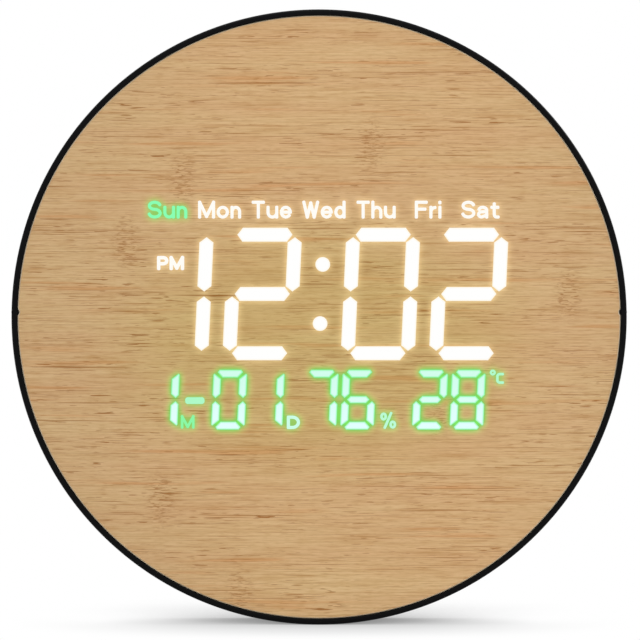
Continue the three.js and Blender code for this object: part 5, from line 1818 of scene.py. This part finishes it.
class CLOCK_OT_lit_display(bpy.types.Operator):
    """Make the lit digits, words and legends"""

    bl_idname = "clock.lit_display"
    bl_label = "Lit display"

    def execute(self, context):
        make_lit_display(context.scene.clock_display)
        return {"FINISHED"}


class CLOCK_OT_bamboo_face(bpy.types.Operator):
    """Make the bamboo face and spread the display's light in it"""

    bl_idname = "clock.bamboo_face"
    bl_label = "Bamboo face"

    def execute(self, context):
        scene = context.scene
        make_bamboo_face(scene.clock_case, scene.clock_face, scene.clock_display)
        return {"FINISHED"}


class CLOCK_OT_rear_cover(bpy.types.Operator):
    """Make the rear cover with its recesses, keyhole and vents"""

    bl_idname = "clock.rear_cover"
    bl_label = "Rear cover"

    def execute(self, context):
        make_rear_cover(context.scene.clock_rear)
        return {"FINISHED"}


class CLOCK_OT_case_screws(bpy.types.Operator):
    """Make the six screws of the rear cover"""

    bl_idname = "clock.case_screws"
    bl_label = "Case screws"

    def execute(self, context):
        make_case_screws(context.scene.clock_rear)
        return {"FINISHED"}


class CLOCK_OT_keys(bpy.types.Operator):
    """Make the three keys and their marks"""

    bl_idname = "clock.keys"
    bl_label = "Keys"

    def execute(self, context):
        make_keys(context.scene.clock_rear)
        return {"FINISHED"}


class CLOCK_OT_power_inlet(bpy.types.Operator):
    """Make the power socket and its nut"""

    bl_idname = "clock.power_inlet"
    bl_label = "Power inlet"

    def execute(self, context):
        make_power_inlet(context.scene.clock_rear)
        return {"FINISHED"}


class CLOCK_OT_battery_parts(bpy.types.Operator):
    """Make the battery door, its screw and grip, and the coin cell"""

    bl_idname = "clock.battery_parts"
    bl_label = "Battery parts"

    def execute(self, context):
        make_battery_parts(context.scene.clock_rear)
        return {"FINISHED"}


class CLOCK_OT_inner_finishes(bpy.types.Operator):
    """Give the pieces inside the case their finishes"""

    bl_idname = "clock.inner_finishes"
    bl_label = "Inner finishes"

    def execute(self, context):
        make_inner_finishes(context.scene.clock_rear)
        return {"FINISHED"}


class CLOCK_OT_stage(bpy.types.Operator):
    """Set the floor, the light and the camera"""

    bl_idname = "clock.stage"
    bl_label = "Stage"

    def execute(self, context):
        make_stage(context.scene.clock_stage)
        return {"FINISHED"}


OPERATORS = (
    CLOCK_OT_case_ring,
    CLOCK_OT_lit_display,
    CLOCK_OT_bamboo_face,
    CLOCK_OT_rear_cover,
    CLOCK_OT_case_screws,
    CLOCK_OT_keys,
    CLOCK_OT_power_inlet,
    CLOCK_OT_battery_parts,
    CLOCK_OT_inner_finishes,
    CLOCK_OT_stage,
)
SETTINGS = {
    "clock_case": ClockCaseSettings,
    "clock_face": ClockFaceSettings,
    "clock_display": ClockDisplaySettings,
    "clock_rear": ClockRearSettings,
    "clock_stage": ClockStageSettings,
}


class CLOCK_PT_panel(bpy.types.Panel):
    """Pieces of the wall clock and their settings"""

    bl_idname = "CLOCK_PT_panel"
    bl_label = "Wall Clock"
    bl_space_type = "VIEW_3D"
    bl_region_type = "UI"
    bl_category = "Wall Clock"

    def draw(self, context):
        for name, group in SETTINGS.items():
            box = self.layout.box()
            box.label(text=group.__doc__)
            for key in group.__annotations__:
                box.prop(getattr(context.scene, name), key)
        for operator in OPERATORS:
            self.layout.operator(operator.bl_idname)


CLASSES = (*SETTINGS.values(), *OPERATORS, CLOCK_PT_panel)


def register():
    """Register the classes and give the scene their settings"""
    for kind in CLASSES:
        bpy.utils.register_class(kind)
    for name, group in SETTINGS.items():
        setattr(bpy.types.Scene, name, PointerProperty(type=group))


def unregister():
    """Take the settings and the classes away again"""
    for name in SETTINGS:
        delattr(bpy.types.Scene, name)
    for kind in reversed(CLASSES):
        bpy.utils.unregister_class(kind)


def main():
    """Make every piece and the stage"""
    register()
    bpy.ops.clock.case_ring()
    bpy.ops.clock.lit_display()
    bpy.ops.clock.bamboo_face()
    bpy.ops.clock.rear_cover()
    bpy.ops.clock.case_screws()
    bpy.ops.clock.keys()
    bpy.ops.clock.power_inlet()
    bpy.ops.clock.battery_parts()
    bpy.ops.clock.inner_finishes()
    bpy.ops.clock.stage()


if __name__ == "__main__":
    main()
